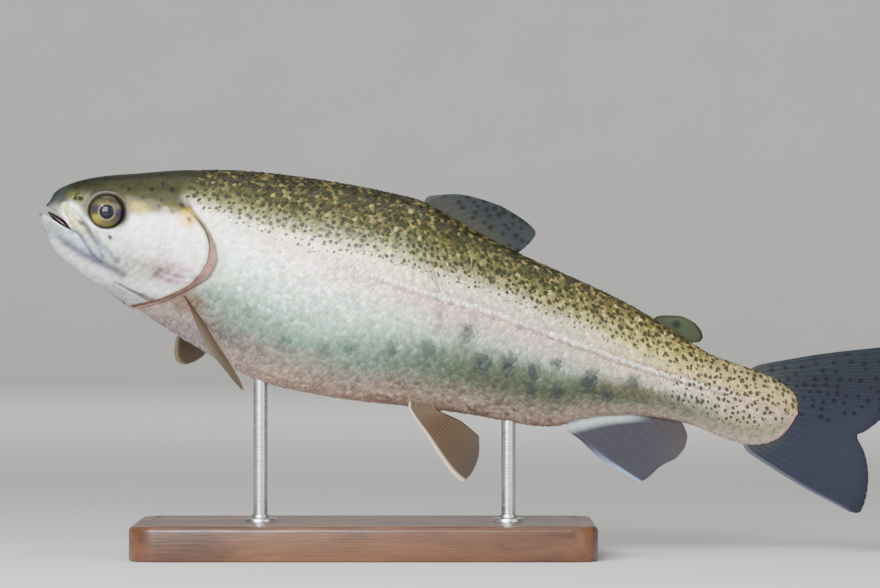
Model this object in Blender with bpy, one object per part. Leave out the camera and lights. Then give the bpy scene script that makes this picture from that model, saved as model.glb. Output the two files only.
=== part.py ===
"""Rainbow trout, life size: a still display model held head up on a plain stand.

The fish is drawn in its own frame: u runs from the snout to the tail, v from the belly to the
back and w out to the fish's left. Its tables are in units of one 270th of the standard length.
World frame, in metres: +X towards the tail, +Z up, the fish's left flank faces -Y, and the
origin is the centre of the stand's underside.
"""

import math

import bmesh
import bpy
import numpy as np
from mathutils import Matrix, Vector

# Driving dimensions, in metres and degrees
STANDARD_LENGTH = 0.270  # snout to the end of the scaled tail stem
UNIT = STANDARD_LENGTH / 270.0  # what one unit of the tables below measures
PITCH = 15.0  # head up
SNOUT_X = -0.111
SNOUT_HEIGHT = 0.122
GAP = 0.0003  # between any two pieces
FIN_THICKNESS = 0.0008

BASE_SIZE = (0.160, 0.090, 0.012)
BASE_CORNER = 0.010
BASE_EDGE = 0.0015
ROD_RADIUS = 0.0025
ROD_SINK = 0.006  # how far a rod reaches past the belly line before it is cut to the belly
ROD_STATIONS = {"stand_rod_front": 88.0, "stand_rod_rear": 175.0}  # along u

# Body profile: (u, value)
TOP = (
    (-1.3, -2.9), (-0.6, -1.9), (0.8, 0.8), (1.6, 4.6), (3.2, 6.8), (5.6, 8.8), (8.8, 11.0),
    (15.6, 14.4), (28.9, 19.2), (42.0, 23.8), (62.0, 29.2), (83.0, 32.6), (108.0, 35.0),
    (123.0, 35.6), (132.0, 34.0), (144.0, 30.8), (158.0, 27.6), (178.0, 24.2), (201.0, 20.3),
    (224.0, 14.0), (238.0, 9.8), (250.0, 8.8), (259.0, 7.8), (266.0, 5.6), (270.0, 2.6),
    (271.3, -1.6),
)  # fmt: skip
BOTTOM = (
    (-1.3, -3.5), (-0.9, -4.6), (0.8, -7.6), (3.9, -11.4), (7.1, -14.2), (11.0, -16.7),
    (17.3, -19.3), (33.3, -24.9), (49.2, -30.2), (64.7, -34.8), (80.0, -39.0), (92.0, -40.3),
    (116.0, -38.8), (138.0, -35.6), (160.0, -32.6), (183.0, -30.6), (192.0, -28.4),
    (198.5, -24.4), (207.0, -20.8), (222.0, -17.0), (236.0, -16.0), (247.5, -17.4),
    (255.0, -18.0), (262.6, -16.2), (267.3, -12.6), (270.0, -7.6), (271.3, -2.6),
)  # fmt: skip
HALF_WIDTH = (
    (-1.3, 0.7), (-0.6, 1.9), (1.0, 3.9), (5.0, 5.9), (10.0, 7.4), (16.0, 8.8), (22.0, 9.9),
    (32.0, 12.1), (45.0, 14.5), (60.0, 16.2), (80.0, 17.8), (100.0, 18.2), (125.0, 17.4),
    (150.0, 15.3), (175.0, 12.5), (200.0, 9.4), (220.0, 7.2), (240.0, 5.3), (255.0, 3.8),
    (265.0, 2.4), (269.0, 1.6), (271.3, 0.9),
)  # fmt: skip
WIDEST = ((-1.3, 0.50), (20.0, 0.55), (50.0, 0.50), (100.0, 0.56), (160.0, 0.54), (271.3, 0.50))
ROUND_TOP = ((-1.3, 2.2), (20.0, 2.6), (45.0, 2.3), (70.0, 2.05), (271.3, 2.1))
ROUND_BOTTOM = ((-1.3, 2.0), (20.0, 1.8), (50.0, 1.9), (100.0, 2.15), (271.3, 2.1))
RING_POINTS = 36
SNOUT, TAIL_END = TOP[0][0], TOP[-1][0]
END_ZONES = (SNOUT, SNOUT + 4.0, TAIL_END - 4.0, TAIL_END)  # in the outer two, a grown body grows along u
RING_SPANS = ((SNOUT, 2.0, 6), (2.0, 10.0, 5), (10.0, 60.0, 15), (60.0, 235.0, 22), (235.0, TAIL_END, 11))

# Where the body is parted: (u, v)
GILL_EDGE = (
    (44.6, 27.0), (45.6, 20.0), (46.8, 15.0), (49.4, 11.6), (54.3, 7.3), (58.1, 2.4), (60.2, -3.0),
    (60.0, -7.3), (58.8, -11.1), (52.2, -18.0), (47.6, -21.8), (42.9, -24.5), (38.5, -27.0),
    (35.5, -31.0),
)  # fmt: skip
GILL_COVER = (
    (49.4, 11.6), (54.3, 7.3), (58.1, 2.4), (60.2, -3.0), (60.0, -7.3), (58.8, -11.1),
    (52.2, -18.0), (47.6, -21.8), (42.9, -24.5), (40.2, -20.5), (42.6, -12.5), (43.9, -5.0),
    (43.3, 2.0), (42.8, 8.0), (45.0, 11.5),
)  # fmt: skip
UPPER_LIP = ((1.2, -0.4), (3.5, -1.0), (5.5, -1.8), (7.6, -3.0), (9.6, -4.5), (10.8, -5.6))
LOWER_LIP = ((0.2, -3.4), (2.4, -3.7), (4.4, -4.4), (6.4, -5.1), (9.0, -5.8), (10.8, -6.1))
JAW_SEAM = ((14.0, -7.2), (20.0, -10.0), (26.0, -12.9), (31.0, -17.0), (33.5, -22.0), (32.5, -32.0))
TAIL_SEAM = 231.0
OUTSIDE = 60.0  # past the body in v and w
GILL_LIFT = 0.6  # how proud the gill cover stands
GILL_DEPTH = 3.0
GILL_INNER = 4.0  # the covers stay this far from the mid-plane

# Eyes: spheroids
EYE_CENTRE = (21.6, 3.2, 7.9)
EYE_RADII = (6.0, 6.0, 3.4)

# Fins of the mid-plane: outlines in (u, v), sunk into the body and cut to it
DORSAL = (
    (125.5, 33.0), (127.0, 36.6), (131.8, 39.0), (138.2, 40.9), (145.0, 41.2), (152.8, 40.7),
    (159.7, 38.8), (165.0, 36.7), (167.3, 34.4), (166.0, 30.8), (164.0, 28.0), (161.0, 24.0),
    (140.0, 28.0),
)  # fmt: skip
ADIPOSE = (
    (214.0, 14.0), (215.0, 17.6), (221.5, 19.5), (225.0, 19.7), (228.6, 18.8), (231.2, 17.0),
    (232.7, 14.6), (231.8, 12.4), (229.0, 11.6), (227.0, 9.0),
)  # fmt: skip
ANAL = (
    (194.0, -24.0), (195.0, -28.7), (200.6, -30.9), (209.0, -35.3), (217.0, -37.9), (224.6, -40.0),
    (227.2, -37.4), (230.4, -32.4), (234.6, -28.4), (236.6, -24.0), (236.2, -19.4), (231.0, -15.8),
    (228.0, -12.0), (205.0, -16.0),
)  # fmt: skip
CAUDAL = (
    (249.0, 5.0), (250.0, 9.6), (262.0, 14.6), (276.0, 20.6), (293.0, 27.2), (303.0, 30.7),
    (309.2, 31.4), (310.0, 28.6), (307.6, 20.0), (304.2, 11.6), (300.0, 3.0), (296.0, -2.2),
    (293.6, -4.7), (297.2, -9.2), (299.8, -14.0), (301.4, -19.4), (302.0, -25.2), (301.2, -30.0),
    (297.8, -30.8), (279.0, -26.5), (263.0, -21.8), (255.5, -19.9), (254.0, -15.0), (262.0, -5.0),
)  # fmt: skip

# Paired fins
PELVIC = (
    (138.6, -30.0), (139.4, -35.2), (143.2, -38.4), (148.4, -42.8), (155.4, -49.2), (160.6, -53.2),
    (164.8, -55.1), (167.2, -51.4), (168.0, -45.0), (166.4, -38.8), (159.0, -35.4), (150.0, -33.6),
    (147.0, -29.0),
)  # fmt: skip
PELVIC_HINGE = (-35.0, 6.0)  # (v, w) of the line that the fin turns on
PELVIC_SPLAY = 26.0
# A pectoral outline runs along the fin (first number) and across it (second)
PECTORAL = (
    (-4.0, -2.2), (4.0, -3.0), (15.0, -5.0), (25.0, -6.4), (32.6, -6.0), (36.4, -3.6), (36.4, -0.4),
    (33.0, 3.6), (26.0, 6.6), (17.0, 6.8), (8.0, 4.6), (2.0, 2.6), (-4.0, 2.2),
)  # fmt: skip
PECTORAL_ROOT = (57.6, -19.6, 11.6)
PECTORAL_LEFT_REACH = (25.2, -24.3, 11.0)  # (u, v, out) from root to tip: swept back, edge on
PECTORAL_LEFT_TURN = 16.0
PECTORAL_RIGHT_REACH = (4.0, -21.5, 28.0)  # held out and down
PECTORAL_RIGHT_TURN = 78.0

OLIVE = (0.30, 0.31, 0.19)
SILVER = (0.74, 0.75, 0.74)
FIN_GREY = (0.42, 0.45, 0.46)
TAIL_BLUE = (0.30, 0.35, 0.41)
PALE_FIN = (0.62, 0.55, 0.45)
EYE_DARK = (0.05, 0.05, 0.07)
WALNUT = (0.20, 0.11, 0.06)
STEEL = (0.60, 0.60, 0.60)


def clear_scene():
    for obj in list(bpy.data.objects):
        bpy.data.objects.remove(obj)


def new_collection(name):
    collection = bpy.data.collections.new(name)
    bpy.context.scene.collection.children.link(collection)
    return collection


def fish_to_world():
    """u, v, w in metres become world places: v turns up, w turns to -Y, then the head is raised."""
    tilt = Matrix.Rotation(math.radians(PITCH), 4, "Y")
    upright = Matrix.Rotation(math.radians(90.0), 4, "X")
    return Matrix.Translation((SNOUT_X, 0.0, SNOUT_HEIGHT)) @ tilt @ upright


def material(name, colour, roughness, metallic):
    made = bpy.data.materials.new(name)
    made.use_nodes = True
    shader = made.node_tree.nodes["Principled BSDF"]
    shader.inputs["Base Color"].default_value = (*colour, 1.0)
    shader.inputs["Roughness"].default_value = roughness
    shader.inputs["Metallic"].default_value = metallic
    return made


def smooth(stations, at):
    """A cubic through the stations, with no overshoot between them."""
    x, y = np.array(stations, float).T
    step = np.diff(x)
    slope = np.diff(y) / step
    near, far = 2 * step[1:] + step[:-1], step[1:] + 2 * step[:-1]
    same_way = slope[1:] * slope[:-1] > 0
    safe = np.where(same_way, slope[:-1], 1.0), np.where(same_way, slope[1:], 1.0)
    mean = (near + far) / (near / safe[0] + far / safe[1])
    tangent = np.concatenate(([slope[0]], np.where(same_way, mean, 0.0), [slope[-1]]))
    i = np.clip(np.searchsorted(x, at, side="right") - 1, 0, len(step) - 1)
    t = (at - x[i]) / step[i]
    rise = y[i] * (1 + 2 * t) * (1 - t) ** 2 + y[i + 1] * t * t * (3 - 2 * t)
    return rise + step[i] * (tangent[i] * t * (1 - t) ** 2 - tangent[i + 1] * t * t * (1 - t))


def rounded(points, steps=4, closed=True):
    """A Catmull-Rom curve through the points."""
    known = [np.array(p, float) for p in points]
    count = len(known)
    found = []
    for i in range(count if closed else count - 1):
        if closed:
            before, here, there, after = (known[(i + k) % count] for k in (-1, 0, 1, 2))
        else:
            before, here = known[max(i - 1, 0)], known[i]
            there, after = known[i + 1], known[min(i + 2, count - 1)]
        for t in np.arange(steps) / steps:
            bend = (there - before) * t + (2 * before - 5 * here + 4 * there - after) * t**2
            found.append(here + 0.5 * (bend + (3 * here - before - 3 * there + after) * t**3))
    return found if closed else found + [known[-1]]


def body_ring(u, grow=0.0, slimmer=0.0):
    """Points (v, w) round the body at station u, made of two half superellipses."""
    top = smooth(TOP, u) + grow
    bottom = smooth(BOTTOM, u) - grow
    half = max(smooth(HALF_WIDTH, u) + grow - slimmer, 0.2)
    middle = bottom + (top - bottom) * smooth(WIDEST, u)
    points = []
    for k in range(RING_POINTS):
        angle = 2 * math.pi * k / RING_POINTS
        c, s = math.cos(angle), math.sin(angle)
        power = 2 / smooth(ROUND_TOP if s > 0 else ROUND_BOTTOM, u)
        reach = top - middle if s > 0 else middle - bottom
        side = math.copysign(abs(c) ** power, c) * half
        points.append((middle + math.copysign(abs(s) ** power, s) * reach, side))
    return points


def stations():
    """Places of the rings along u, closest together at the snout."""
    spans = [np.linspace(start, end, count, endpoint=False) for start, end, count in RING_SPANS]
    return np.append(np.concatenate(spans), TAIL_END)


def body_mesh(name, grow=0.0, slimmer=0.0):
    bm = bmesh.new()
    rings = []
    for u in stations():
        moved = u + grow * np.interp(u, END_ZONES, (-1.0, 0.0, 0.0, 1.0))
        ring = body_ring(u, grow, slimmer)
        rings.append([bm.verts.new(Vector((moved, v, w)) * UNIT) for v, w in ring])
    for ring, following in zip(rings, rings[1:]):
        for k in range(RING_POINTS):
            after = (k + 1) % RING_POINTS
            bm.faces.new((ring[k], following[k], following[after], ring[after]))
    bm.faces.new(rings[0])
    bm.faces.new(reversed(rings[-1]))
    bmesh.ops.recalc_face_normals(bm, faces=bm.faces)
    return finished_mesh(bm, name)


def finished_mesh(bm, name):
    mesh = bpy.data.meshes.new(name)
    bm.to_mesh(mesh)
    bm.free()
    return mesh


def plate_mesh(name, outline, low, high, place=None):
    """A closed plate between w = low and high, whose outline is in (u, v)."""
    bm = bmesh.new()
    face = bm.faces.new([bm.verts.new((a, b, low)) for a, b in outline])
    extruded = bmesh.ops.extrude_face_region(bm, geom=[face])
    raised = [item for item in extruded["geom"] if isinstance(item, bmesh.types.BMVert)]
    bmesh.ops.translate(bm, verts=raised, vec=(0.0, 0.0, high - low))
    for vert in bm.verts:
        placed = place(vert.co) if place else vert.co
        vert.co = Vector(placed) * UNIT
    bmesh.ops.recalc_face_normals(bm, faces=bm.faces)
    return finished_mesh(bm, name)


def spheroid_mesh(name, radii):
    bm = bmesh.new()
    bmesh.ops.create_uvsphere(bm, u_segments=20, v_segments=10, radius=1.0)
    bmesh.ops.scale(bm, vec=Vector(radii) * UNIT, verts=bm.verts)
    return finished_mesh(bm, name)


def add_part(name, mesh, finish, matrix=None):
    obj = bpy.data.objects.new(name, mesh)
    parts.objects.link(obj)
    obj.matrix_world = to_world if matrix is None else matrix
    mesh.materials.append(material(name, *finish))
    mesh.shade_smooth()
    mesh.set_sharp_from_angle(angle=math.radians(35.0))
    return obj


def add_cutter(name, mesh, matrix=None):
    obj = bpy.data.objects.new(name, mesh)
    cutters.objects.link(obj)
    obj.matrix_world = to_world if matrix is None else matrix
    obj.hide_render = True
    obj.display_type = "WIRE"
    return obj


def cut(obj, cutter, operation="DIFFERENCE"):
    modifier = obj.modifiers.new(cutter.name, "BOOLEAN")
    modifier.operation = operation
    modifier.object = cutter
    modifier.solver = "EXACT"


def wall_to_wall(name, outline):
    """A prism that spans the whole body from side to side."""
    return add_cutter(name, plate_mesh(name, outline, -OUTSIDE, OUTSIDE))


def gill_curve(shift):
    """The gill opening from above the back to below the breast, moved along u by shift."""
    ends = [(44.0, OUTSIDE), *GILL_EDGE, (34.0, -OUTSIDE)]
    return [(p[0] + shift, p[1]) for p in rounded(ends, closed=False)]


def make_regions():
    """Prisms that part the body, each half a gap short of its neighbour."""
    half_gap = 0.5 * GAP / UNIT
    front = [(-OUTSIDE, OUTSIDE), *gill_curve(-half_gap), (-OUTSIDE, -OUTSIDE)]
    seam, past_tail = TAIL_SEAM, 2 * TAIL_SEAM
    middle = [(seam - half_gap, -OUTSIDE), (seam - half_gap, OUTSIDE), *gill_curve(half_gap)]
    low, high = (seam + half_gap, -OUTSIDE), (past_tail, OUTSIDE)
    rear = [low, (past_tail, -OUTSIDE), high, (seam + half_gap, OUTSIDE)]
    corner = (-OUTSIDE, -OUTSIDE)
    jaw = [(-OUTSIDE, -3.2), *rounded([*LOWER_LIP, *JAW_SEAM], 3, False), (32.0, -OUTSIDE), corner]
    clear_seam = [(u + 2 * half_gap, v + 2 * half_gap) for u, v in JAW_SEAM]
    mouth = [(-OUTSIDE, 0.2), *rounded([*UPPER_LIP, *clear_seam], 3, False), (32.4, -OUTSIDE), corner]
    outlines = {"front": front, "middle": middle, "rear": rear, "jaw": jaw, "mouth": mouth}
    return {name: wall_to_wall(name + "_region", outline) for name, outline in outlines.items()}


def make_gill_covers():
    """Two plates standing a little proud of the head, and the space they lie in."""
    room = 2 * GAP / UNIT
    centre = np.mean(GILL_COVER, axis=0)
    outline = rounded(GILL_COVER, 2)
    wider = [p + room * (p - centre) / np.linalg.norm(p - centre) for p in outline]
    bed = add_cutter("gill_bed", body_mesh("gill_bed", slimmer=GILL_DEPTH))
    deeper_bed = add_cutter("gill_deep_bed", body_mesh("gill_deep_bed", slimmer=GILL_DEPTH + room))
    for side, sign in (("left", 1.0), ("right", -1.0)):
        low, high = sorted((sign * GILL_INNER, sign * OUTSIDE))
        window = add_cutter("gill_window_" + side, plate_mesh("gill_window", outline, low, high))
        mesh = body_mesh("gill_cover_" + side, grow=GILL_LIFT)
        cover = add_part("gill_cover_" + side, mesh, (SILVER, 0.3, 0.6))
        cut(cover, window, "INTERSECT")
        cut(cover, bed)
    space = wall_to_wall("gill_space", wider)
    cut(space, deeper_bed)
    return space


def make_eyes():
    """Two eyes and their sockets."""
    sockets = []
    room = GAP / UNIT
    u, v, w = EYE_CENTRE
    for side, sign in (("left", 1.0), ("right", -1.0)):
        matrix = to_world @ Matrix.Translation(Vector((u, v, sign * w)) * UNIT)
        add_part("eye_" + side, spheroid_mesh("eye_" + side, EYE_RADII), (EYE_DARK, 0.1, 0.0), matrix)
        wider = [radius + room for radius in EYE_RADII]
        sockets.append(add_cutter("socket_" + side, spheroid_mesh("socket_" + side, wider), matrix))
    return sockets


def make_body(regions, gill_space, sockets):
    head = add_part("head", body_mesh("head"), (OLIVE, 0.4, 0.3))
    cut(head, regions["front"], "INTERSECT")
    cut(head, regions["mouth"])
    cut(head, gill_space)
    for socket in sockets:
        cut(head, socket)
    jaw = add_part("lower_jaw", body_mesh("lower_jaw"), (SILVER, 0.35, 0.4))
    cut(jaw, regions["jaw"], "INTERSECT")
    trunk = add_part("trunk", body_mesh("trunk"), (SILVER, 0.35, 0.5))
    cut(trunk, regions["middle"], "INTERSECT")
    cut(trunk, gill_space)
    stem = add_part("tail_stem", body_mesh("tail_stem"), (SILVER, 0.35, 0.5))
    cut(stem, regions["rear"], "INTERSECT")


def make_median_fins(clearance):
    half = 0.5 * FIN_THICKNESS / UNIT
    finishes = {
        "dorsal_fin": (DORSAL, FIN_GREY),
        "adipose_fin": (ADIPOSE, OLIVE),
        "anal_fin": (ANAL, FIN_GREY),
        "caudal_fin": (CAUDAL, TAIL_BLUE),
    }
    for name, (outline, colour) in finishes.items():
        fin = add_part(name, plate_mesh(name, rounded(outline, 3), -half, half), (colour, 0.45, 0.0))
        cut(fin, clearance)


def pelvic_place(sign):
    """Turns the fin's plane outwards about its hinge line and keeps its outline from the side."""
    hinge_v, hinge_w = PELVIC_HINGE
    slope = math.tan(math.radians(PELVIC_SPLAY))
    return lambda p: (p.x, p.y, sign * (hinge_w + slope * (hinge_v - p.y)) + p.z)


def pectoral_place(reach, turn, sign):
    """Maps (along, across, through) of a pectoral fin to the fish's frame."""
    along = Vector((reach[0], reach[1], sign * reach[2])).normalized()
    out = Vector((0.0, 0.0, sign))
    across = (out - out.dot(along) * along).normalized()
    across.rotate(Matrix.Rotation(math.radians(turn), 3, along))
    through = along.cross(across)
    root = Vector((PECTORAL_ROOT[0], PECTORAL_ROOT[1], sign * PECTORAL_ROOT[2]))
    return lambda p: root + p.x * along + p.y * across + p.z * through


def make_paired_fins(clearance):
    half = 0.5 * FIN_THICKNESS / UNIT
    poses = {
        "pelvic_fin_left": (PELVIC, pelvic_place(1.0)),
        "pelvic_fin_right": (PELVIC, pelvic_place(-1.0)),
        "pectoral_fin_left": (PECTORAL, pectoral_place(PECTORAL_LEFT_REACH, PECTORAL_LEFT_TURN, 1.0)),
        "pectoral_fin_right": (PECTORAL, pectoral_place(PECTORAL_RIGHT_REACH, PECTORAL_RIGHT_TURN, -1.0)),
    }
    for name, (outline, place) in poses.items():
        mesh = plate_mesh(name, rounded(outline, 3), -half, half, place)
        cut(add_part(name, mesh, (PALE_FIN, 0.45, 0.0)), clearance)


def belly_point(u):
    """World place of the belly line at station u."""
    return to_world @ (Vector((u, float(smooth(BOTTOM, u)), 0.0)) * UNIT)


def make_base():
    length, width, height = BASE_SIZE
    bm = bmesh.new()
    bmesh.ops.create_cube(bm, size=1.0)
    bmesh.ops.scale(bm, vec=BASE_SIZE, verts=bm.verts)
    bmesh.ops.translate(bm, vec=(0.0, 0.0, height / 2), verts=bm.verts)
    upright = [e for e in bm.edges if abs(e.verts[0].co.z - e.verts[1].co.z) > height / 2]
    bmesh.ops.bevel(bm, geom=upright, offset=BASE_CORNER, segments=6, profile=0.5, affect="EDGES")
    rim = [e for e in bm.edges if min(v.co.z for v in e.verts) > height - GAP]
    bmesh.ops.bevel(bm, geom=rim, offset=BASE_EDGE, segments=2, profile=0.5, affect="EDGES")
    add_part("stand_base", finished_mesh(bm, "stand_base"), (WALNUT, 0.4, 0.0), Matrix.Identity(4))


def make_rods(clearance):
    """Rods from the base to the belly, cut to it."""
    foot = BASE_SIZE[2] + GAP
    for name, u in ROD_STATIONS.items():
        meets = belly_point(u)
        length = meets.z + ROD_SINK - foot
        bm = bmesh.new()
        bmesh.ops.create_cone(
            bm, cap_ends=True, segments=24, radius1=ROD_RADIUS, radius2=ROD_RADIUS, depth=length
        )
        matrix = Matrix.Translation((meets.x, 0.0, foot + length / 2))
        rod = add_part(name, finished_mesh(bm, name), (STEEL, 0.25, 1.0), matrix)
        cut(rod, clearance)


clear_scene()
parts = new_collection("rainbow_trout")
cutters = new_collection("cutters")
to_world = fish_to_world()
clearance = add_cutter("body_clearance", body_mesh("body_clearance", grow=GAP / UNIT))
make_body(make_regions(), make_gill_covers(), make_eyes())
make_median_fins(clearance)
make_paired_fins(clearance)
make_base()
make_rods(clearance)
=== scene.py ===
"""Rainbow trout on a display stand: the finish of every surface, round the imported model.

Lengths in the tables are fish millimetres: u from the snout to the tail, v up the fish and w to
its left. world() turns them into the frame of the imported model, in metres.
"""

import math

import bmesh
import bpy
import numpy as np
from mathutils import Matrix, Vector

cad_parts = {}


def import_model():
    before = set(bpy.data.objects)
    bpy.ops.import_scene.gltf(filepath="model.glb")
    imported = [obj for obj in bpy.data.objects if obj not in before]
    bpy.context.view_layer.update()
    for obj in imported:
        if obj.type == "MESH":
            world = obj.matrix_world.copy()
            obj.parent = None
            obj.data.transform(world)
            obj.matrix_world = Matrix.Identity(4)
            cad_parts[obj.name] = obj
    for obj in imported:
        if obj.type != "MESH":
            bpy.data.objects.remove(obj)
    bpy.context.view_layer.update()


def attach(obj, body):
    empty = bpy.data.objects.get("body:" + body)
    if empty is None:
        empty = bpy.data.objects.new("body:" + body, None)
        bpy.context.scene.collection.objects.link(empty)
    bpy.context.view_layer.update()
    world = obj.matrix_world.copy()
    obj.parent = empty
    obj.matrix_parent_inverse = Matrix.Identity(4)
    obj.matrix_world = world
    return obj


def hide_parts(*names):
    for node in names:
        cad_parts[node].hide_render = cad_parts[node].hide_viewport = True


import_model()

MM = 0.001
PITCH = math.radians(15.0)
SNOUT_AT = (-0.111, 0.122)  # world x and z of u = v = 0

# Body profile, as the solids have it: (u, value)
TOP = (
    (-1.3, -2.9), (-0.6, -1.9), (0.8, 0.8), (1.6, 4.6), (3.2, 6.8), (5.6, 8.8), (8.8, 11.0),
    (15.6, 14.4), (28.9, 19.2), (42.0, 23.8), (62.0, 29.2), (83.0, 32.6), (108.0, 35.0),
    (123.0, 35.6), (132.0, 34.0), (144.0, 30.8), (158.0, 27.6), (178.0, 24.2), (201.0, 20.3),
    (224.0, 14.0), (238.0, 9.8), (250.0, 8.8), (259.0, 7.8), (266.0, 5.6), (270.0, 2.6),
    (271.3, -1.6),
)  # fmt: skip
BOTTOM = (
    (-1.3, -3.5), (-0.9, -4.6), (0.8, -7.6), (3.9, -11.4), (7.1, -14.2), (11.0, -16.7),
    (17.3, -19.3), (33.3, -24.9), (49.2, -30.2), (64.7, -34.8), (80.0, -39.0), (92.0, -40.3),
    (116.0, -38.8), (138.0, -35.6), (160.0, -32.6), (183.0, -30.6), (192.0, -28.4),
    (198.5, -24.4), (207.0, -20.8), (222.0, -17.0), (236.0, -16.0), (247.5, -17.4),
    (255.0, -18.0), (262.6, -16.2), (267.3, -12.6), (270.0, -7.6), (271.3, -2.6),
)  # fmt: skip
HALF_WIDTH = (
    (-1.3, 0.7), (-0.6, 1.9), (1.0, 3.9), (5.0, 5.9), (10.0, 7.4), (16.0, 8.8), (22.0, 9.9),
    (32.0, 12.1), (45.0, 14.5), (60.0, 16.2), (80.0, 17.8), (100.0, 18.2), (125.0, 17.4),
    (150.0, 15.3), (175.0, 12.5), (200.0, 9.4), (220.0, 7.2), (240.0, 5.3), (255.0, 3.8),
    (265.0, 2.4), (269.0, 1.6), (271.3, 0.9),
)  # fmt: skip
WIDEST = ((-1.3, 0.50), (20.0, 0.55), (50.0, 0.50), (100.0, 0.56), (160.0, 0.54), (271.3, 0.50))
ROUND_TOP = ((-1.3, 2.2), (20.0, 2.6), (45.0, 2.3), (70.0, 2.05), (271.3, 2.1))
ROUND_BOTTOM = ((-1.3, 2.0), (20.0, 1.8), (50.0, 1.9), (100.0, 2.15), (271.3, 2.1))
SNOUT, TAIL_END = TOP[0][0], TOP[-1][0]

GILL_EDGE = (
    (44.6, 27.0), (45.6, 20.0), (46.8, 15.0), (49.4, 11.6), (54.3, 7.3), (58.1, 2.4), (60.2, -3.0),
    (60.0, -7.3), (58.8, -11.1), (52.2, -18.0), (47.6, -21.8), (42.9, -24.5), (38.5, -27.0),
    (35.5, -31.0),
)  # fmt: skip
UPPER_LIP = ((1.2, -0.4), (3.5, -1.0), (5.5, -1.8), (7.6, -3.0), (9.6, -4.5), (10.8, -5.6))
LOWER_LIP = ((0.2, -3.4), (2.4, -3.7), (4.4, -4.4), (6.4, -5.1), (9.0, -5.8), (10.8, -6.1))
LATERAL_LINE = (
    (44.0, 14.5), (62.0, 11.6), (80.0, 9.4), (100.0, 7.3), (126.0, 5.3), (156.0, 4.3),
    (182.0, 2.0), (209.0, -0.6), (236.0, -1.3), (271.3, -2.1),
)  # fmt: skip
EYE = (21.6, 3.2, 7.9)
EYE_RADII = (6.0, 6.0, 3.4)


# ---------------------------------------------------------------- curves and small helpers


def smooth(stations, at):
    """A cubic through the stations, with no overshoot between them."""
    x, y = np.array(stations, float).T
    step = np.diff(x)
    slope = np.diff(y) / step
    near, far = 2 * step[1:] + step[:-1], step[1:] + 2 * step[:-1]
    same_way = slope[1:] * slope[:-1] > 0
    safe = np.where(same_way, slope[:-1], 1.0), np.where(same_way, slope[1:], 1.0)
    mean = (near + far) / (near / safe[0] + far / safe[1])
    tangent = np.concatenate(([slope[0]], np.where(same_way, mean, 0.0), [slope[-1]]))
    at = np.clip(at, x[0], x[-1])
    i = np.clip(np.searchsorted(x, at, side="right") - 1, 0, len(step) - 1)
    t = (at - x[i]) / step[i]
    rise = y[i] * (1 + 2 * t) * (1 - t) ** 2 + y[i + 1] * t * t * (3 - 2 * t)
    return rise + step[i] * (tangent[i] * t * (1 - t) ** 2 - tangent[i + 1] * t * t * (1 - t))


def rounded(points, steps=6):
    """An open Catmull-Rom curve through the points."""
    known = np.array(points, float)
    t = (np.arange(steps) / steps)[:, None]
    found = []
    for i in range(len(known) - 1):
        before, here = known[max(i - 1, 0)], known[i]
        there, after = known[i + 1], known[min(i + 2, len(known) - 1)]
        bend = (there - before) * t + (2 * before - 5 * here + 4 * there - after) * t**2
        found.append(here + 0.5 * (bend + (3 * here - before - 3 * there + after) * t**3))
    return np.vstack([*found, known[-1:]])


def ramp(x, low, high):
    """0 below low, 1 above high, smooth between."""
    t = np.clip((np.asarray(x, float) - low) / (high - low), 0.0, 1.0)
    return t * t * (3 - 2 * t)


def hill(x, width):
    return np.exp(-((np.asarray(x, float) / width) ** 2))


def off_line(u, v, points):
    """Distance of each (u, v) from a curve, and its share of the way along it."""
    curve = rounded(points)
    start, run = curve[:-1], np.diff(curve, axis=0)
    length = np.linalg.norm(run, axis=1)
    along = np.concatenate(([0.0], np.cumsum(length)))
    best, share = np.full(u.shape, 1e9), np.zeros(u.shape)
    for k in range(len(start)):
        t = ((u - start[k, 0]) * run[k, 0] + (v - start[k, 1]) * run[k, 1]) / length[k] ** 2
        t = np.clip(t, 0.0, 1.0)
        d = np.hypot(u - start[k, 0] - t * run[k, 0], v - start[k, 1] - t * run[k, 1])
        closer = d < best
        best = np.where(closer, d, best)
        share = np.where(closer, (along[k] + t * length[k]) / along[-1], share)
    return best, share


def linear(*srgb):
    c = np.array(srgb, float) / 255.0
    return np.where(c <= 0.04045, c / 12.92, ((c + 0.055) / 1.055) ** 2.4)


# How bright a surface has to be to show as a value, under the renderer's default view, and the
# light that falls on the fish
SHOWN = (0, 9, 21, 33, 44, 56, 72, 91, 112, 135, 156, 174, 190, 204, 216, 226, 234, 242, 255)
LUMINANCE = (
    0.0006, 0.005, 0.0114, 0.0211, 0.0318, 0.0479, 0.0721, 0.1085, 0.1634, 0.246, 0.3704, 0.5577,
    0.8396, 1.264, 1.903, 2.866, 4.314, 6.5, 14.0,
)  # fmt: skip
FALLING_LIGHT = 2.5
PALEST = 0.9


def shown(*srgb):
    """The surface colour that shows as these values in the lit scene."""
    return np.clip(np.interp(srgb, SHOWN, LUMINANCE) / FALLING_LIGHT, 0.0, PALEST)


def world(u, v, w):
    c, s = math.cos(PITCH), math.sin(PITCH)
    x = SNOUT_AT[0] + (u * c + v * s) * MM
    z = SNOUT_AT[1] + (v * c - u * s) * MM
    return np.stack((x, -w * MM + 0 * x, z), -1)


def unworld(points):
    c, s = math.cos(PITCH), math.sin(PITCH)
    x, z = (points[:, 0] - SNOUT_AT[0]) / MM, (points[:, 2] - SNOUT_AT[1]) / MM
    return x * c - z * s, x * s + z * c, -points[:, 1] / MM


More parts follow.
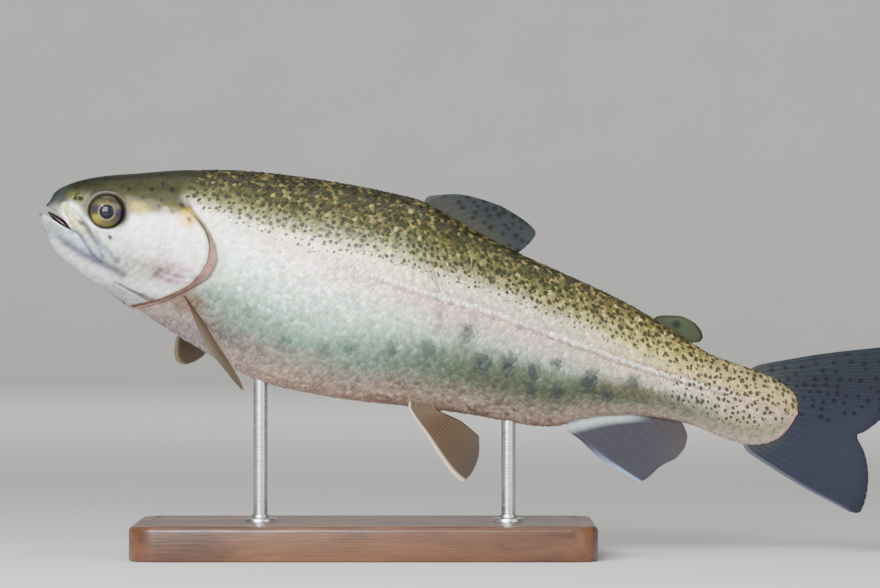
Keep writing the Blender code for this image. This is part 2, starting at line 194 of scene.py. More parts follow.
def make_mesh(name, points, *faces):
    """A mesh from world points and arrays of same-sized faces."""
    faces = [np.asarray(f, np.int32) for f in faces if len(f)]
    mesh = bpy.data.meshes.new(name)
    mesh.vertices.add(len(points))
    mesh.vertices.foreach_set("co", np.asarray(points, np.float32).ravel())
    sizes = np.concatenate([np.full(len(f), f.shape[1], np.int32) for f in faces])
    corners = np.concatenate([f.ravel() for f in faces])
    mesh.loops.add(len(corners))
    mesh.loops.foreach_set("vertex_index", corners)
    mesh.polygons.add(len(sizes))
    starts = np.concatenate(([0], np.cumsum(sizes)[:-1])).astype(np.int32)
    mesh.polygons.foreach_set("loop_start", starts)
    mesh.update(calc_edges=True)
    mesh.validate()
    return mesh


def set_values(mesh, name, values):
    made = mesh.attributes.new(name, "FLOAT", "POINT")
    made.data.foreach_set("value", np.asarray(values, np.float32).ravel())


def set_colours(mesh, name, colours):
    made = mesh.attributes.new(name, "FLOAT_COLOR", "POINT")
    rgba = np.ones((len(colours), 4), np.float32)
    rgba[:, :3] = colours
    made.data.foreach_set("color", rgba.ravel())


def set_vectors(mesh, name, vectors):
    made = mesh.attributes.new(name, "FLOAT_VECTOR", "POINT")
    made.data.foreach_set("vector", np.asarray(vectors, np.float32).ravel())


def add_piece(name, mesh, material, replaces=(), angle=None):
    obj = bpy.data.objects.new(name, mesh)
    bpy.context.scene.collection.objects.link(obj)
    if material is not None:
        mesh.materials.append(material)
    mesh.shade_smooth()
    if angle is not None:
        mesh.set_sharp_from_angle(angle=math.radians(angle))
    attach(obj, "root")
    if replaces:
        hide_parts(*replaces)
    return obj


# ---------------------------------------------------------------- the surface of the body

TABLE_STEP, SHARES = 0.5, 161


def half_rings(u):
    """Left half rings from the back (share 0) to the belly (share 1), at even steps round."""
    top, bottom, half = (smooth(t, u)[:, None] for t in (TOP, BOTTOM, HALF_WIDTH))
    middle = bottom + (top - bottom) * smooth(WIDEST, u)[:, None]
    angle = np.linspace(math.pi / 2, -math.pi / 2, 721)[None, :]
    c, s = np.clip(np.cos(angle), 0, 1), np.sin(angle)
    power = np.where(s > 0, 2 / smooth(ROUND_TOP, u)[:, None], 2 / smooth(ROUND_BOTTOM, u)[:, None])
    reach = np.where(s > 0, top - middle, middle - bottom)
    v = middle + np.sign(s) * np.abs(s) ** power * reach
    w = c**power * half
    step = np.hypot(np.diff(v, axis=1), np.diff(w, axis=1))
    along = np.concatenate((np.zeros((len(u), 1)), np.cumsum(step, axis=1)), axis=1)
    share = np.linspace(0, 1, SHARES)
    rows_v, rows_w = np.empty((len(u), SHARES)), np.empty((len(u), SHARES))
    for k in range(len(u)):
        at = along[k] / along[k, -1]
        rows_v[k], rows_w[k] = np.interp(share, at, v[k]), np.interp(share, at, w[k])
    return rows_v, rows_w, along[:, -1]


TABLE_U = np.arange(SNOUT, TAIL_END + TABLE_STEP / 2, TABLE_STEP)
TABLE_U[-1] = TAIL_END
TABLE_V, TABLE_W, GIRTH = half_rings(TABLE_U)
HEIGHTS = np.linspace(0.0, 1.0, SHARES)  # 0 at the belly line, 1 at the back
TABLE_SHARE = np.array([
    np.interp(HEIGHTS, (v[::-1] - v[-1]) / (v[0] - v[-1]), np.linspace(1, 0, SHARES))
    for v in TABLE_V
])


def look_up(table, row, column):
    row = np.clip(row, 0, table.shape[0] - 1.0001)
    column = np.clip(column, 0, table.shape[1] - 1.0001)
    i, j = row.astype(int), column.astype(int)
    a, b = row - i, column - j
    low = table[i, j] * (1 - b) + table[i, j + 1] * b
    return low * (1 - a) + (table[i + 1, j] * (1 - b) + table[i + 1, j + 1] * b) * a


def flank(u, share):
    """v and w of the body's left surface."""
    row = (u - SNOUT) / TABLE_STEP
    return look_up(TABLE_V, row, share * (SHARES - 1)), look_up(TABLE_W, row, share * (SHARES - 1))


def girth(u):
    return np.interp(u, TABLE_U, GIRTH)


def share_of(u, v):
    """Share of the way round from the back to the belly of the point at height v."""
    top, bottom = smooth(TOP, u), smooth(BOTTOM, u)
    height = np.clip((v - bottom) / np.maximum(top - bottom, 1e-6), 0, 1)
    return look_up(TABLE_SHARE, (np.clip(u, SNOUT, TAIL_END) - SNOUT) / TABLE_STEP, height * (SHARES - 1))


GILL_RIM_BACK = 2.8  # how far the soft rim reaches behind the bony edge


def gill_table():
    curve = rounded(GILL_EDGE, 12)
    curve[:, 0] += GILL_RIM_BACK * hill(curve[:, 1] + 2.0, 13.0)
    share = share_of(curve[:, 0], curve[:, 1])
    order = np.argsort(share, kind="stable")
    return share[order], curve[order, 0]


GILL_SHARE, GILL_U = gill_table()


def gill_u(share):
    return np.interp(share, GILL_SHARE, GILL_U)


# ---------------------------------------------------------------- relief of the head

MAXILLA = ((7.0, 1.2), (12.0, -3.2), (17.0, -7.0), (21.0, -10.6), (22.7, -12.3))
MAXILLA_BACK = ((13.6, -2.5), (16.1, -3.6), (19.4, -6.7), (22.3, -9.2), (24.0, -12.0))
MAXILLA_FRONT = ((11.0, -5.8), (14.6, -7.5), (18.3, -10.7), (21.5, -13.0), (24.5, -14.5))
SUBORBITAL = ((8.7, 2.3), (12.1, 0.7), (16.3, -1.75), (19.5, -3.0), (23.8, -2.6))
PREOPERCLE = (
    (41.5, 9.0), (42.1, 5.5), (44.0, -3.0), (43.5, -8.9), (41.0, -14.0), (38.4, -16.7), (31.0, -19.5),
)  # fmt: skip
SUBOPERCLE = ((43.5, -11.5), (50.0, -12.5), (58.8, -11.1))
JAW_GROOVE = ((7.0, -9.6), (9.8, -11.1), (17.7, -13.6), (27.2, -15.4), (32.9, -16.4))
JAW_RIDGE = ((5.0, -11.0), (9.0, -14.2), (17.0, -17.0), (27.0, -19.4), (37.0, -22.0))
BROW = ((15.8, 8.0), (19.0, 9.8), (23.0, 10.2), (27.5, 7.8))
NOSTRILS = ((9.6, 4.9, 0.5), (11.4, 5.3, 0.6))
# Lines under the throat where the branchiostegal rays overlap
THROAT_LINES = tuple(
    (
        (28.0 + 2.6 * k, -18.6 - 0.75 * k),
        (34.5 + 2.6 * k, -20.6 - 0.62 * k),
        (41.0 + 2.2 * k, -21.4 - 0.2 * k),
    )
    for k in range(5)
)
COAT_DEPTH = 0.36


def rim_width(v):
    """The soft rim of the gill cover is widest at the middle."""
    return 1.5 + 1.8 * ramp(-v, -7.0, 4.0) - 2.1 * ramp(-v, 9.0, 15.0)


def head_relief(u, v, share):
    """How far the skin stands out from the plain body, along its normal."""
    out = np.zeros(u.shape)
    gap = u - gill_u(share)
    opening = 1.0 - ramp(v, 8.5, 13.0)
    front = gap <= 0.0
    flare = 0.72 * np.exp(np.minimum(gap, 0.0) / 7.0)
    rim = -0.34 * hill(gap + rim_width(v) + 0.1, 0.45)  # the soft rim starts here
    behind = -0.55 * np.exp(-np.maximum(gap, 0.0) / 2.2)
    out += opening * np.where(front, flare + rim, behind)
    nape = ramp(v, 11.0, 15.0)
    sunk = (1 - nape) * ramp(gap, 0.0, 0.8) + nape * ramp(gap, -1.0, 6.0)
    out -= COAT_DEPTH * sunk * ramp(TAIL_END - u, 0.5, 8.0)

    d, along = off_line(u, v, MAXILLA)
    half = 0.9 + 1.3 * along
    out += 0.5 * (1 - ramp(d, 0.75 * half, 1.15 * half)) * ramp(along, 0.0, 0.2)
    for line, deep, wide in (
        (MAXILLA_BACK, 0.5, 0.5),
        (MAXILLA_FRONT, 0.45, 0.55),
        (SUBOPERCLE, 0.22, 0.5),
        (JAW_GROOVE, 0.4, 1.3),
    ):
        d, along = off_line(u, v, line)
        out -= deep * hill(d, wide) * ramp(along, 0.0, 0.15) * (1 - 0.8 * ramp(along, 0.85, 1.0))
    d, along = off_line(u, v, SUBORBITAL)
    out += 0.3 * hill(d, 1.1)
    d, along = off_line(u, v, PREOPERCLE)
    out += 0.2 * hill(d, 1.6)
    d, along = off_line(u, v, JAW_RIDGE)
    out += 0.22 * hill(d, 1.3)
    for line in THROAT_LINES:
        d, along = off_line(u, v, line)
        out -= 0.2 * hill(d, 0.32) * ramp(along, 0.0, 0.3)
    for line, deep in ((UPPER_LIP, 0.32), (LOWER_LIP, 0.28)):
        d, along = off_line(u, v, line)
        out += deep * hill(d - 0.7, 0.75) * (1 - 0.5 * along)

    # The orbit, its rim and the brow
    du, dv = u - EYE[0], v - EYE[1]
    rho = np.hypot(du, dv * 1.02)
    out -= 3.2 * (1 - ramp(rho, 5.2, 6.15))
    out -= 0.38 * (1 - ramp(rho, 5.6, 7.6)) * (rho > 5.2)
    out += 0.1 * hill(rho - 6.9, 0.7)
    d, along = off_line(u, v, BROW)
    out += 0.12 * hill(d, 1.2)
    for cu, cv, size in NOSTRILS:
        out -= 0.75 * hill(np.hypot(u - cu, (v - cv) * 1.25), size)
    out += 0.3 * hill(np.hypot(u - 10.5, v - 5.9), 0.7)
    return out


SKIN_ROUND = 128  # quads from the back to the belly
GILL_AT = 52.0


def skin_stations():
    spans = (
        (SNOUT, 13.0, 0.24), (13.0, 50.6, 0.36), (50.6, 51.7, 0.22), (51.7, 52.6, 0.13), (52.6, 56.0, 0.4),
        (56.0, 70.0, 0.8), (70.0, 250.0, 2.2), (250.0, TAIL_END, 0.9),
    )  # fmt: skip
    found = [np.linspace(a, b, round((b - a) / step), endpoint=False) for a, b, step in spans]
    return np.append(np.concatenate(found), TAIL_END)


def skin_grid():
    """u, share, v and w of the skin's left half, whose lines bend to run along the gill opening."""
    station = skin_stations()[:, None]
    share = np.linspace(0, 1, SKIN_ROUND + 1)[None, :] + 0 * station
    bend = ramp(station, 12.0, GILL_AT) * (1 - ramp(station, GILL_AT, 98.0))
    u = station + (gill_u(share) - GILL_AT) * bend
    return u, share


def push_out(u, share, amount):
    """Moves surface points out along the normal, to their new u, v and w."""
    e = 0.4
    v, w = flank(u, share)
    low, high = np.clip(u - e, SNOUT, TAIL_END), np.clip(u + e, SNOUT, TAIL_END)
    v0, w0 = flank(low, share)
    v1, w1 = flank(high, share)
    along = np.stack((high - low, v1 - v0, w1 - w0), -1)
    s0, s1 = np.clip(share - 0.006, 0, 1), np.clip(share + 0.006, 0, 1)
    v0, w0 = flank(u, s0)
    v1, w1 = flank(u, s1)
    w0, w1 = np.where(share < 0.006, -w1, w0), np.where(share > 0.994, -w0, w1)
    around = np.stack((0 * u, v1 - v0, w1 - w0), -1)
    normal = np.cross(around, along)
    normal /= np.maximum(np.linalg.norm(normal, axis=-1, keepdims=True), 1e-9)
    outward = np.stack((0 * u, v - 0.5 * (smooth(TOP, u) + smooth(BOTTOM, u)), w), -1)
    flip = np.sign(np.sum(normal * outward, -1))
    normal *= np.where(flip == 0, 1, flip)[..., None]
    middle = (share < 1e-6) | (share > 1 - 1e-6)
    normal[..., 2] = np.where(middle, 0.0, normal[..., 2])
    return u + normal[..., 0] * amount, v + normal[..., 1] * amount, w + normal[..., 2] * amount


def tube_faces(rows, columns):
    """Quads of rows of points, closed round each row."""
    i, j = np.meshgrid(np.arange(rows - 1), np.arange(columns), indexing="ij")
    k = (j + 1) % columns
    quads = np.stack((i * columns + j, (i + 1) * columns + j, (i + 1) * columns + k, i * columns + k), -1)
    return quads.reshape(-1, 4)


def skin_mesh():
    u, share = skin_grid()
    v, _ = flank(u, share)
    pu, pv, pw = push_out(u, share, head_relief(u, v, share))
    pw[:, 0] = pw[:, -1] = 0.0
    left = np.stack((pu, pv, np.maximum(pw, 0.0)), -1)
    right = left[:, -2:0:-1] * (1, 1, -1)
    rings = np.concatenate((left, right), axis=1)
    rows, columns = rings.shape[:2]
    points = np.vstack((rings.reshape(-1, 3), rings[0].mean(0)[None], rings[-1].mean(0)[None]))
    j = np.arange(columns)
    k = (j + 1) % columns
    nose = np.stack((np.full(columns, rows * columns), j, k), -1)
    last = (rows - 1) * columns
    end = np.stack((np.full(columns, rows * columns + 1), last + k, last + j), -1)
    mesh = make_mesh("skin", world(*points.T), tube_faces(rows, columns), nose, end)
    bm = bmesh.new()
    bm.from_mesh(mesh)
    bmesh.ops.recalc_face_normals(bm, faces=bm.faces)
    bm.to_mesh(mesh)
    bm.free()
    return mesh


def mouth_cutters():
    """The gape between the lips, and the hollow behind it."""
    upper = rounded(((-6.0, 0.2), *UPPER_LIP), 5)
    lower = rounded(((-6.0, -3.2), *LOWER_LIP), 5)
    corner = [(11.3, -5.85)]
    outline = np.vstack((upper, corner, lower[::-1]))
    across = np.linspace(-12.0, 12.0, 49)
    rings = np.array([[(u, v, w) for u, v in outline] for w in across])
    rows, columns = rings.shape[:2]
    points = rings.reshape(-1, 3)
    caps = [list(range(columns)), list(range((rows - 1) * columns, rows * columns))]
    gape = make_mesh("gape", world(*points.T), tube_faces(rows, columns), [caps[0]], [caps[1]])
    bm = bmesh.new()
    bm.from_mesh(gape)
    bmesh.ops.recalc_face_normals(bm, faces=bm.faces)
    bm.to_mesh(gape)
    bm.free()

    bm = bmesh.new()
    bmesh.ops.create_uvsphere(bm, u_segments=48, v_segments=28, radius=1.0)
    bmesh.ops.scale(bm, vec=(8.6, 3.7, 5.3), verts=bm.verts)
    turn = math.radians(-24.0)
    for vert in bm.verts:
        a, b, c = vert.co
        u, v = a * math.cos(turn) - b * math.sin(turn), a * math.sin(turn) + b * math.cos(turn)
        vert.co = Vector(world(np.array(10.9 + u), np.array(-5.9 + v), np.array(c)).tolist())
    bmesh.ops.recalc_face_normals(bm, faces=bm.faces)
    hollow = bpy.data.meshes.new("hollow")
    bm.to_mesh(hollow)
    bm.free()
    return gape, hollow


def cut_mouth(skin, lining):
    for mesh in mouth_cutters():
        cutter = bpy.data.objects.new(mesh.name, mesh)
        bpy.context.scene.collection.objects.link(cutter)
        mesh.materials.append(lining)
        modifier = skin.modifiers.new(mesh.name, "BOOLEAN")
        modifier.operation = "DIFFERENCE"
        modifier.solver = "EXACT"
        modifier.object = cutter
        bpy.context.view_layer.update()
        cut = bpy.data.meshes.new_from_object(skin.evaluated_get(bpy.context.evaluated_depsgraph_get()))
        skin.modifiers.clear()
        skin.data = cut
        bpy.data.objects.remove(cutter)
    skin.data.name = "skin"


def round_lips(skin):
    """Softens the edge that the gape cut."""
    bm = bmesh.new()
    bm.from_mesh(skin.data)
    edge = {v for e in bm.edges if len({f.material_index for f in e.link_faces}) > 1 for v in e.verts}
    near = edge | {e.other_vert(v) for v in edge for e in v.link_edges}
    near = list(near | {e.other_vert(v) for v in near for e in v.link_edges})
    near.sort(key=lambda v: v.index)
    for _ in range(3):
        bmesh.ops.smooth_vert(bm, verts=near, factor=0.5, use_axis_x=True, use_axis_y=True, use_axis_z=True)
    # The very tips of the jaws are skin again
    for face in bm.faces:
        if face.material_index and unworld(np.array([face.calc_center_median()]))[0][0] < 4.2:
            face.material_index = 0
    bm.to_mesh(skin.data)
    bm.free()


# ---------------------------------------------------------------- markings

PARR_MARKS = (
    (78.3, -16.6, 2.6), (92.5, -25.3, 3.4), (106.6, -24.0, 2.6), (114.5, -20.0, 2.6), (128.8, -17.0, 3.0),
    (141.1, -14.4, 3.6), (152.7, -5.2, 4.0), (160.7, -13.5, 3.4), (169.6, -11.8, 3.8), (178.2, -11.7, 3.2),
    (185.7, -7.5, 2.8), (179.7, -18.5, 2.4), (188.3, -16.9, 2.4), (198.4, -10.3, 4.0), (205.4, -13.8, 2.2),
    (213.3, -6.7, 3.0),
)  # fmt: skip
HEAD_SPOTS = (
    (32.7, 11.0, 0.75), (34.8, 14.7, 0.8), (38.0, 17.6, 0.7), (41.8, 16.2, 0.85), (46.5, 17.5, 0.85),
    (38.9, 12.0, 0.6), (38.8, 9.7, 0.6), (44.1, 8.9, 0.6), (46.4, 12.4, 0.95), (50.3, 7.9, 0.8),
    (51.2, 17.3, 0.85), (53.9, 14.1, 0.85), (55.4, 9.6, 0.8), (25.3, -5.1, 0.75), (27.2, 12.7, 0.7),
)  # fmt: skip

# Patches of the head's paint: colour, centre, reach, softness, strength
SNOUT_PATCHES = (
    ((90, 100, 106), (3.6, 3.0), (4.6, 6.0), 0.5, 0.85),
    ((122, 128, 62), (8.6, 5.4), (2.3, 2.0), 0.6, 0.8),
    ((118, 120, 92), (13.5, 4.4), (4.0, 4.2), 0.6, 0.75),
)
YELLOW_PATCHES = (
    ((202, 190, 90), (32.4, 6.8), (3.6, 2.2), 0.7, 0.7),
    ((214, 200, 62), (50.0, 7.8), (3.6, 2.9), 0.6, 0.9),
)
DARK_PATCHES = (
    ((104, 98, 72), (EYE[0] - 7.0, EYE[1] - 0.4), (2.2, 4.0), 0.6, 0.85),
    ((84, 74, 76), (EYE[0] + 6.6, EYE[1] + 0.3), (1.8, 3.4), 0.6, 0.85),
)
CHEEK_GROOVE = ((18.5, -3.6), (22.0, -7.0), (26.0, -9.8), (29.5, -12.5))


def over(base, colour, amount):
    """Paints a colour over the base, by an amount from 0 to 1 at each point."""
    return base + (shown(*colour) - base) * np.clip(amount, 0, 1)[:, None]


def blob(u, v, place, reach, soft=0.35):
    d = np.hypot((u - place[0]) / reach[0], (v - place[1]) / reach[1])
    return 1 - ramp(d, 1 - soft, 1 + soft)


def patched(base, u, v, patches):
    """Paints soft patches, each with its colour, centre, reach, softness and strength."""
    for colour, place, reach, soft, strength in patches:
        base = over(base, colour, blob(u, v, place, reach, soft) * strength)
    return base


def wander(u, v, w, size, seed):
    """Smooth noise from -1 to 1 made of a few waves."""
    rng = np.random.default_rng(seed)
    total = np.zeros(u.shape)
    for _ in range(7):
        a, b, c = rng.normal(size=3) / size * 2.2
        total += np.sin(a * u + b * v + c * w + rng.uniform(0, 2 * math.pi))
    return total / 3.2


BACK_COLOURS = (
    (0.0, (208, 204, 201)), (0.25, (212, 211, 204)), (0.42, (180, 180, 148)), (0.62, (136, 140, 88)),
    (0.85, (100, 105, 58)), (1.0, (64, 68, 38)),
)  # fmt: skip
BELLY_COLOURS = (
    (0.0, (208, 204, 201)), (0.12, (216, 215, 214)), (0.35, (208, 217, 213)), (0.6, (176, 192, 186)),
    (0.8, (202, 196, 192)), (1.0, (224, 212, 208)),
)  # fmt: skip


def gradient(stops, at):
    x = [s[0] for s in stops]
    colours = np.array([shown(*s[1]) for s in stops])
    return np.stack([np.interp(at, x, colours[:, k]) for k in range(3)], -1)


def trunk_colour(u, v, w):
    line = smooth(LATERAL_LINE, u)
    up = (v - line) / np.maximum(smooth(TOP, u) - line, 1.0)
    down = (line - v) / np.maximum(line - smooth(BOTTOM, u), 1.0)
    drift = 0.05 * wander(u, v, w, 18.0, 3)
    # The olive of the back reaches lower in front
    lower = 0.13 * (1 - ramp(u, 90.0, 170.0)) + 0.07 * (1 - ramp(u, 65.0, 110.0))
    base = np.where(
        (v > line)[:, None],
        gradient(BACK_COLOURS, np.clip(up + lower + drift, 0, 1)),
        gradient(BELLY_COLOURS, np.clip(down + drift, 0, 1)),
    )
    # Towards the tail the flank turns from silver to a warm grey green, and the stem to cream
    rear = ramp(u, 95.0, 170.0) * (1 - 0.55 * ramp(u, 215.0, 250.0))
    low = ramp(down, 0.15, 0.5) * (1 - 0.75 * ramp(down, 0.62, 0.95))
    base = over(base, (128, 136, 108), 0.9 * rear * low)
    middle = ramp(u, 120, 150) * (1 - ramp(u, 190, 230))
    base = over(base, (176, 164, 148), 0.4 * middle * hill(down - 0.18, 0.16))
    base = over(base, (206, 200, 156), 0.8 * ramp(u, 170.0, 230.0) * hill(up - 0.35, 0.5))
    base = over(base, (200, 192, 170), 0.6 * ramp(u, 225.0, 255.0) * (1 - ramp(down, 0.5, 1.0)))
    # Pink along the side
    band = hill((v - line + 3.0) / 5.5, 1.0) * ramp(u, 60.0, 110.0)
    base = over(base, (222, 178, 176), 0.15 * band)
    # Parr marks
    for k, (cu, cv, size) in enumerate(PARR_MARKS):
        shift = np.where(w < 0, 1.8 * math.sin(3.1 * k), 0.0)
        d = np.hypot((u - cu - shift) / size, (v - cv) / (size * 1.25))
        wobble = 0.12 * wander(u, v, w, 2.5, 20 + k)
        strength = 0.35 + 0.5 * min(1.0, max(0.0, (cu - 100) / 60))
        base = over(base, (100, 112, 120), strength * (1 - ramp(d + wobble, 0.2, 1.3)))
    # A brown bruise of a stripe across the lateral line
    d, _ = off_line(u, v, ((135.8, 13.4), (139.5, 6.0), (143.4, -5.1)))
    base = over(base, (166, 140, 112), 0.5 * hill(d, 1.4) * (w > 0))
    return base, up, down, line


def head_colour(u, v, w, base):
    """Paints the head over the trunk's colours, in front of the gill opening."""
    share = share_of(u, v)
    gap = u - gill_u(share)
    ahead = np.where(v > 12.0, 1 - ramp(gap, -3.5, 4.0), 1 - ramp(gap, -0.2, 0.15))
    ahead = ahead + (1 - ramp(gap, -0.2, 0.15) - ahead) * (1 - ramp(v, 11.0, 15.0))
    olive_edge = np.interp(u, (0, 8, 14, 22, 30, 40, 50, 62), (2.0, 3.2, 4.5, 8.5, 6.0, 8.5, 10.5, 12.0))
    height = v - olive_edge
    head = np.tile(shown(236, 238, 236), (len(u), 1))
    head = over(head, (134, 124, 54), ramp(height, -3.0, 0.4))
    head = over(head, (84, 84, 44), ramp(height, 0.4, 4.6))
    head = over(head, (52, 54, 36), ramp(v - smooth(TOP, u), -5.5, 0.0))
    head = patched(head, u, v, SNOUT_PATCHES)
    # Round the eye: a grey gold field, and yellow behind it
    rho = np.hypot(u - EYE[0], v - EYE[1])
    head = over(head, (116, 108, 74), (1 - ramp(rho, 6.6, 9.6)) * ramp(v, -4.0, 1.0) * 0.9)
    head = patched(head, u, v, YELLOW_PATCHES)
    # White cheek, bright streak below the eye, pale maxilla between grooves painted grey as shade
    d, _ = off_line(u, v, SUBORBITAL)
    head = over(head, (250, 250, 248), hill(d, 1.15))
    d, along = off_line(u, v, MAXILLA)
    streaks = 0.5 + 0.5 * wander(u, v, w, 1.1, 71)
    head = over(head, (220, 222, 206), (1 - ramp(d, 0.8, 2.0)) * 0.85)
    head = over(head, (186, 188, 110), (1 - ramp(d, 0.7, 1.7)) * (0.15 + 0.55 * streaks))
    head = over(head, (150, 150, 112), hill(d - 0.95, 0.3) * ramp(along, 0.1, 0.4) * 0.5)
    # Painted shade: the grooves before and behind the maxilla are painted grey
    for line, width, deep in ((MAXILLA_BACK, 0.95, 0.95), (MAXILLA_FRONT, 0.9, 0.85)):
        d, along = off_line(u, v, line)
        head = over(head, (104, 108, 92), hill(d, width) * deep)
    # Painted shade: a grey green line where a groove crosses the cheek, which the relief does not cut
    d, along = off_line(u, v, CHEEK_GROOVE)
    head = over(head, (168, 176, 160), hill(d, 0.9) * 0.7 * ramp(along, 0.0, 0.2))
    head = over(head, (186, 198, 216), blob(u, v, (13.0, -12.5), (14.0, 6.0), 0.6) * 0.45)
    # Painted shadow: the groove above the jaw's ridge is painted purple grey
    d, _ = off_line(u, v, JAW_GROOVE)
    head = over(head, (140, 138, 162), hill(d, 2.1) * 0.9)
    head = over(head, (234, 244, 246), hill(off_line(u, v, JAW_RIDGE)[0], 2.2) * 0.9)
    head = over(head, (186, 194, 198), blob(u, v, (3.5, -7.6), (4.5, 3.2), 0.6) * 0.7)
    # Gill cover: white, with rose and brown low down and a brown soft rim
    mottle = 0.5 + 0.5 * wander(u, v, w, 1.5, 70)
    head = over(head, (146, 156, 140), blob(u, v, (34.0, -12.0), (9.0, 3.8), 0.7) * (0.25 + 0.45 * mottle))
    head = over(head, (214, 206, 214), blob(u, v, (50.0, -4.0), (7.5, 6.5), 0.7) * (0.1 + 0.35 * mottle))
    head = over(head, (180, 138, 142), blob(u, v, (48.5, -11.6), (8.4, 4.0), 0.75) * (0.45 + 0.45 * mottle))
    head = over(head, (140, 98, 84), blob(u, v, (43.8, -12.2), (2.6, 2.3), 0.7) * 0.75)
    head = over(head, (190, 158, 186), blob(u, v, (50.5, -13.4), (4.8, 1.8), 0.8) * 0.6)
    d, _ = off_line(u, v, PREOPERCLE)
    head = over(head, (206, 206, 204), hill(d - 0.7, 0.6) * 0.5)
    throat = ramp(-v, 17.5, 23.0) * ramp(u, 18.0, 32.0)
    head = over(head, (190, 186, 194), throat * 0.75)
    for line in THROAT_LINES:
        d, along = off_line(u, v, line)
        head = over(head, (150, 138, 142), hill(d, 0.42) * 0.7 * ramp(along, 0.0, 0.3))
    back = u - gill_u(share)
    wide = rim_width(v)
    rim = ramp(back, -wide - 0.5, -wide + 0.3) * (1 - ramp(v, 8.5, 12.0))
    head = over(head, (146, 104, 76), rim * 0.92)
    head = over(head, (124, 110, 54), rim * ramp(v, -4.0, 6.0) * 0.9)
    head = over(head, (146, 98, 88), rim * ramp(-v, 8.0, 13.0) * 0.85)
    # Painted highlight: a pink band along the middle of the soft rim, at mid height
    rim_highlight_height = ramp(-v, -4.0, 3.0) * (1 - ramp(-v, 7.0, 11.0))
    head = over(head, (188, 138, 120), rim * hill(back + 0.35 * wide, 0.3 * wide) * rim_highlight_height * 0.6)
    for cu, cv, size in HEAD_SPOTS:
        d = np.hypot(u - cu, v - cv) * (1 + 0.18 * wander(u, v, w, 0.9, 60))
        head = over(head, (34, 32, 20), (1 - ramp(d, 0.65 * size, 1.45 * size)) * 0.95)
    for cu, cv, size in NOSTRILS:
        head = over(head, (40, 40, 36), (1 - ramp(np.hypot(u - cu, v - cv), 0.4 * size, 1.1 * size)) * 0.9)
    # Dark skin before and behind the eye, painted shadow under the brow over the eye, and painted shade in the
    # socket round it
    head = patched(head, u, v, DARK_PATCHES)
    # Painted shadow under the brow
    d = off_line(u, v, BROW)[0]
    head = over(head, (66, 60, 52), hill(d, 1.2) * 0.75)
    # Painted shade in the socket round the eye
    head = over(head, (62, 56, 46), (1 - ramp(rho, 5.9, 6.9)) * 0.9)
    return base + (head - base) * ahead[:, None], ahead


def markings(u, v, w):
    """Colour, silver, spottiness and place of any point of the skin or the coat."""
    base, up, down, line = trunk_colour(u, v, w)
    share = share_of(u, v)
    behind = np.maximum(u - gill_u(share), 0.0)
    rose = np.exp(-behind / 2.5) * (1 - ramp(v, 8.0, 13.0)) * ramp(behind, 0.0, 0.3)
    base = over(base, (200, 168, 162), 0.6 * rose)
    # Breast and the pectoral's root
    breast = ramp(-v, 22.0, 30.0) * (1 - ramp(u, 60.0, 95.0))
    base = over(base, (176, 168, 186), 0.6 * breast)
    root = np.hypot((u - 56.5) / 6.5, (v + 19.0) / 4.0)
    base = over(base, (164, 128, 108), 0.65 * (1 - ramp(root, 0.5, 1.5)))
    base, ahead = head_colour(u, v, w, base)
    # Bright streak of the lateral line between two brown ones
    on_line = (1 - ahead) * ramp(u, 92.0, 128.0) * (1 - ramp(u, 236.0, 262.0))
    beside = hill(v - line - 0.9, 0.42) + hill(v - line + 1.0, 0.42)
    base = over(base, (150, 124, 112), 0.55 * on_line * beside)
    base = over(base, (240, 226, 222), 0.75 * on_line * hill(v - line, 0.6))
    silver = 0.25 + 0.35 * (1 - ramp(up, 0.15, 0.6))
    silver = silver * (1 - 0.35 * ahead)
    reach = up + 0.18 * (1 - ramp(u, 75.0, 125.0)) + 0.1 * (1 - ramp(u, 90.0, 170.0))
    spread = np.where(v > line, 0.75 * ramp(reach, 0.14, 0.34) + 0.25 * ramp(reach, 0.34, 0.5), 0.0)
    stem = ramp(u, 205.0, 240.0)
    spread = np.maximum(spread, stem * (0.9 * ramp(-down, -0.8, -0.4)))
    spread = spread * (1 - ahead) + ahead * 0.7 * ramp(v - np.interp(u, (0, 30, 60), (14, 14, 13)), 0.0, 3.0)
    side = np.where(w < 0, -1.0, 1.0)
    place = np.stack((u, side * share * girth(u), 0 * u), -1)
    return base, silver, spread, place


def set_markings(mesh, u, v, w):
    colour, silver, spread, place = markings(u, v, w)
    set_colours(mesh, "tint", colour)
    set_values(mesh, "silver", silver)
    set_values(mesh, "spread", spread)
    set_vectors(mesh, "place", place)


# ---------------------------------------------------------------- materials


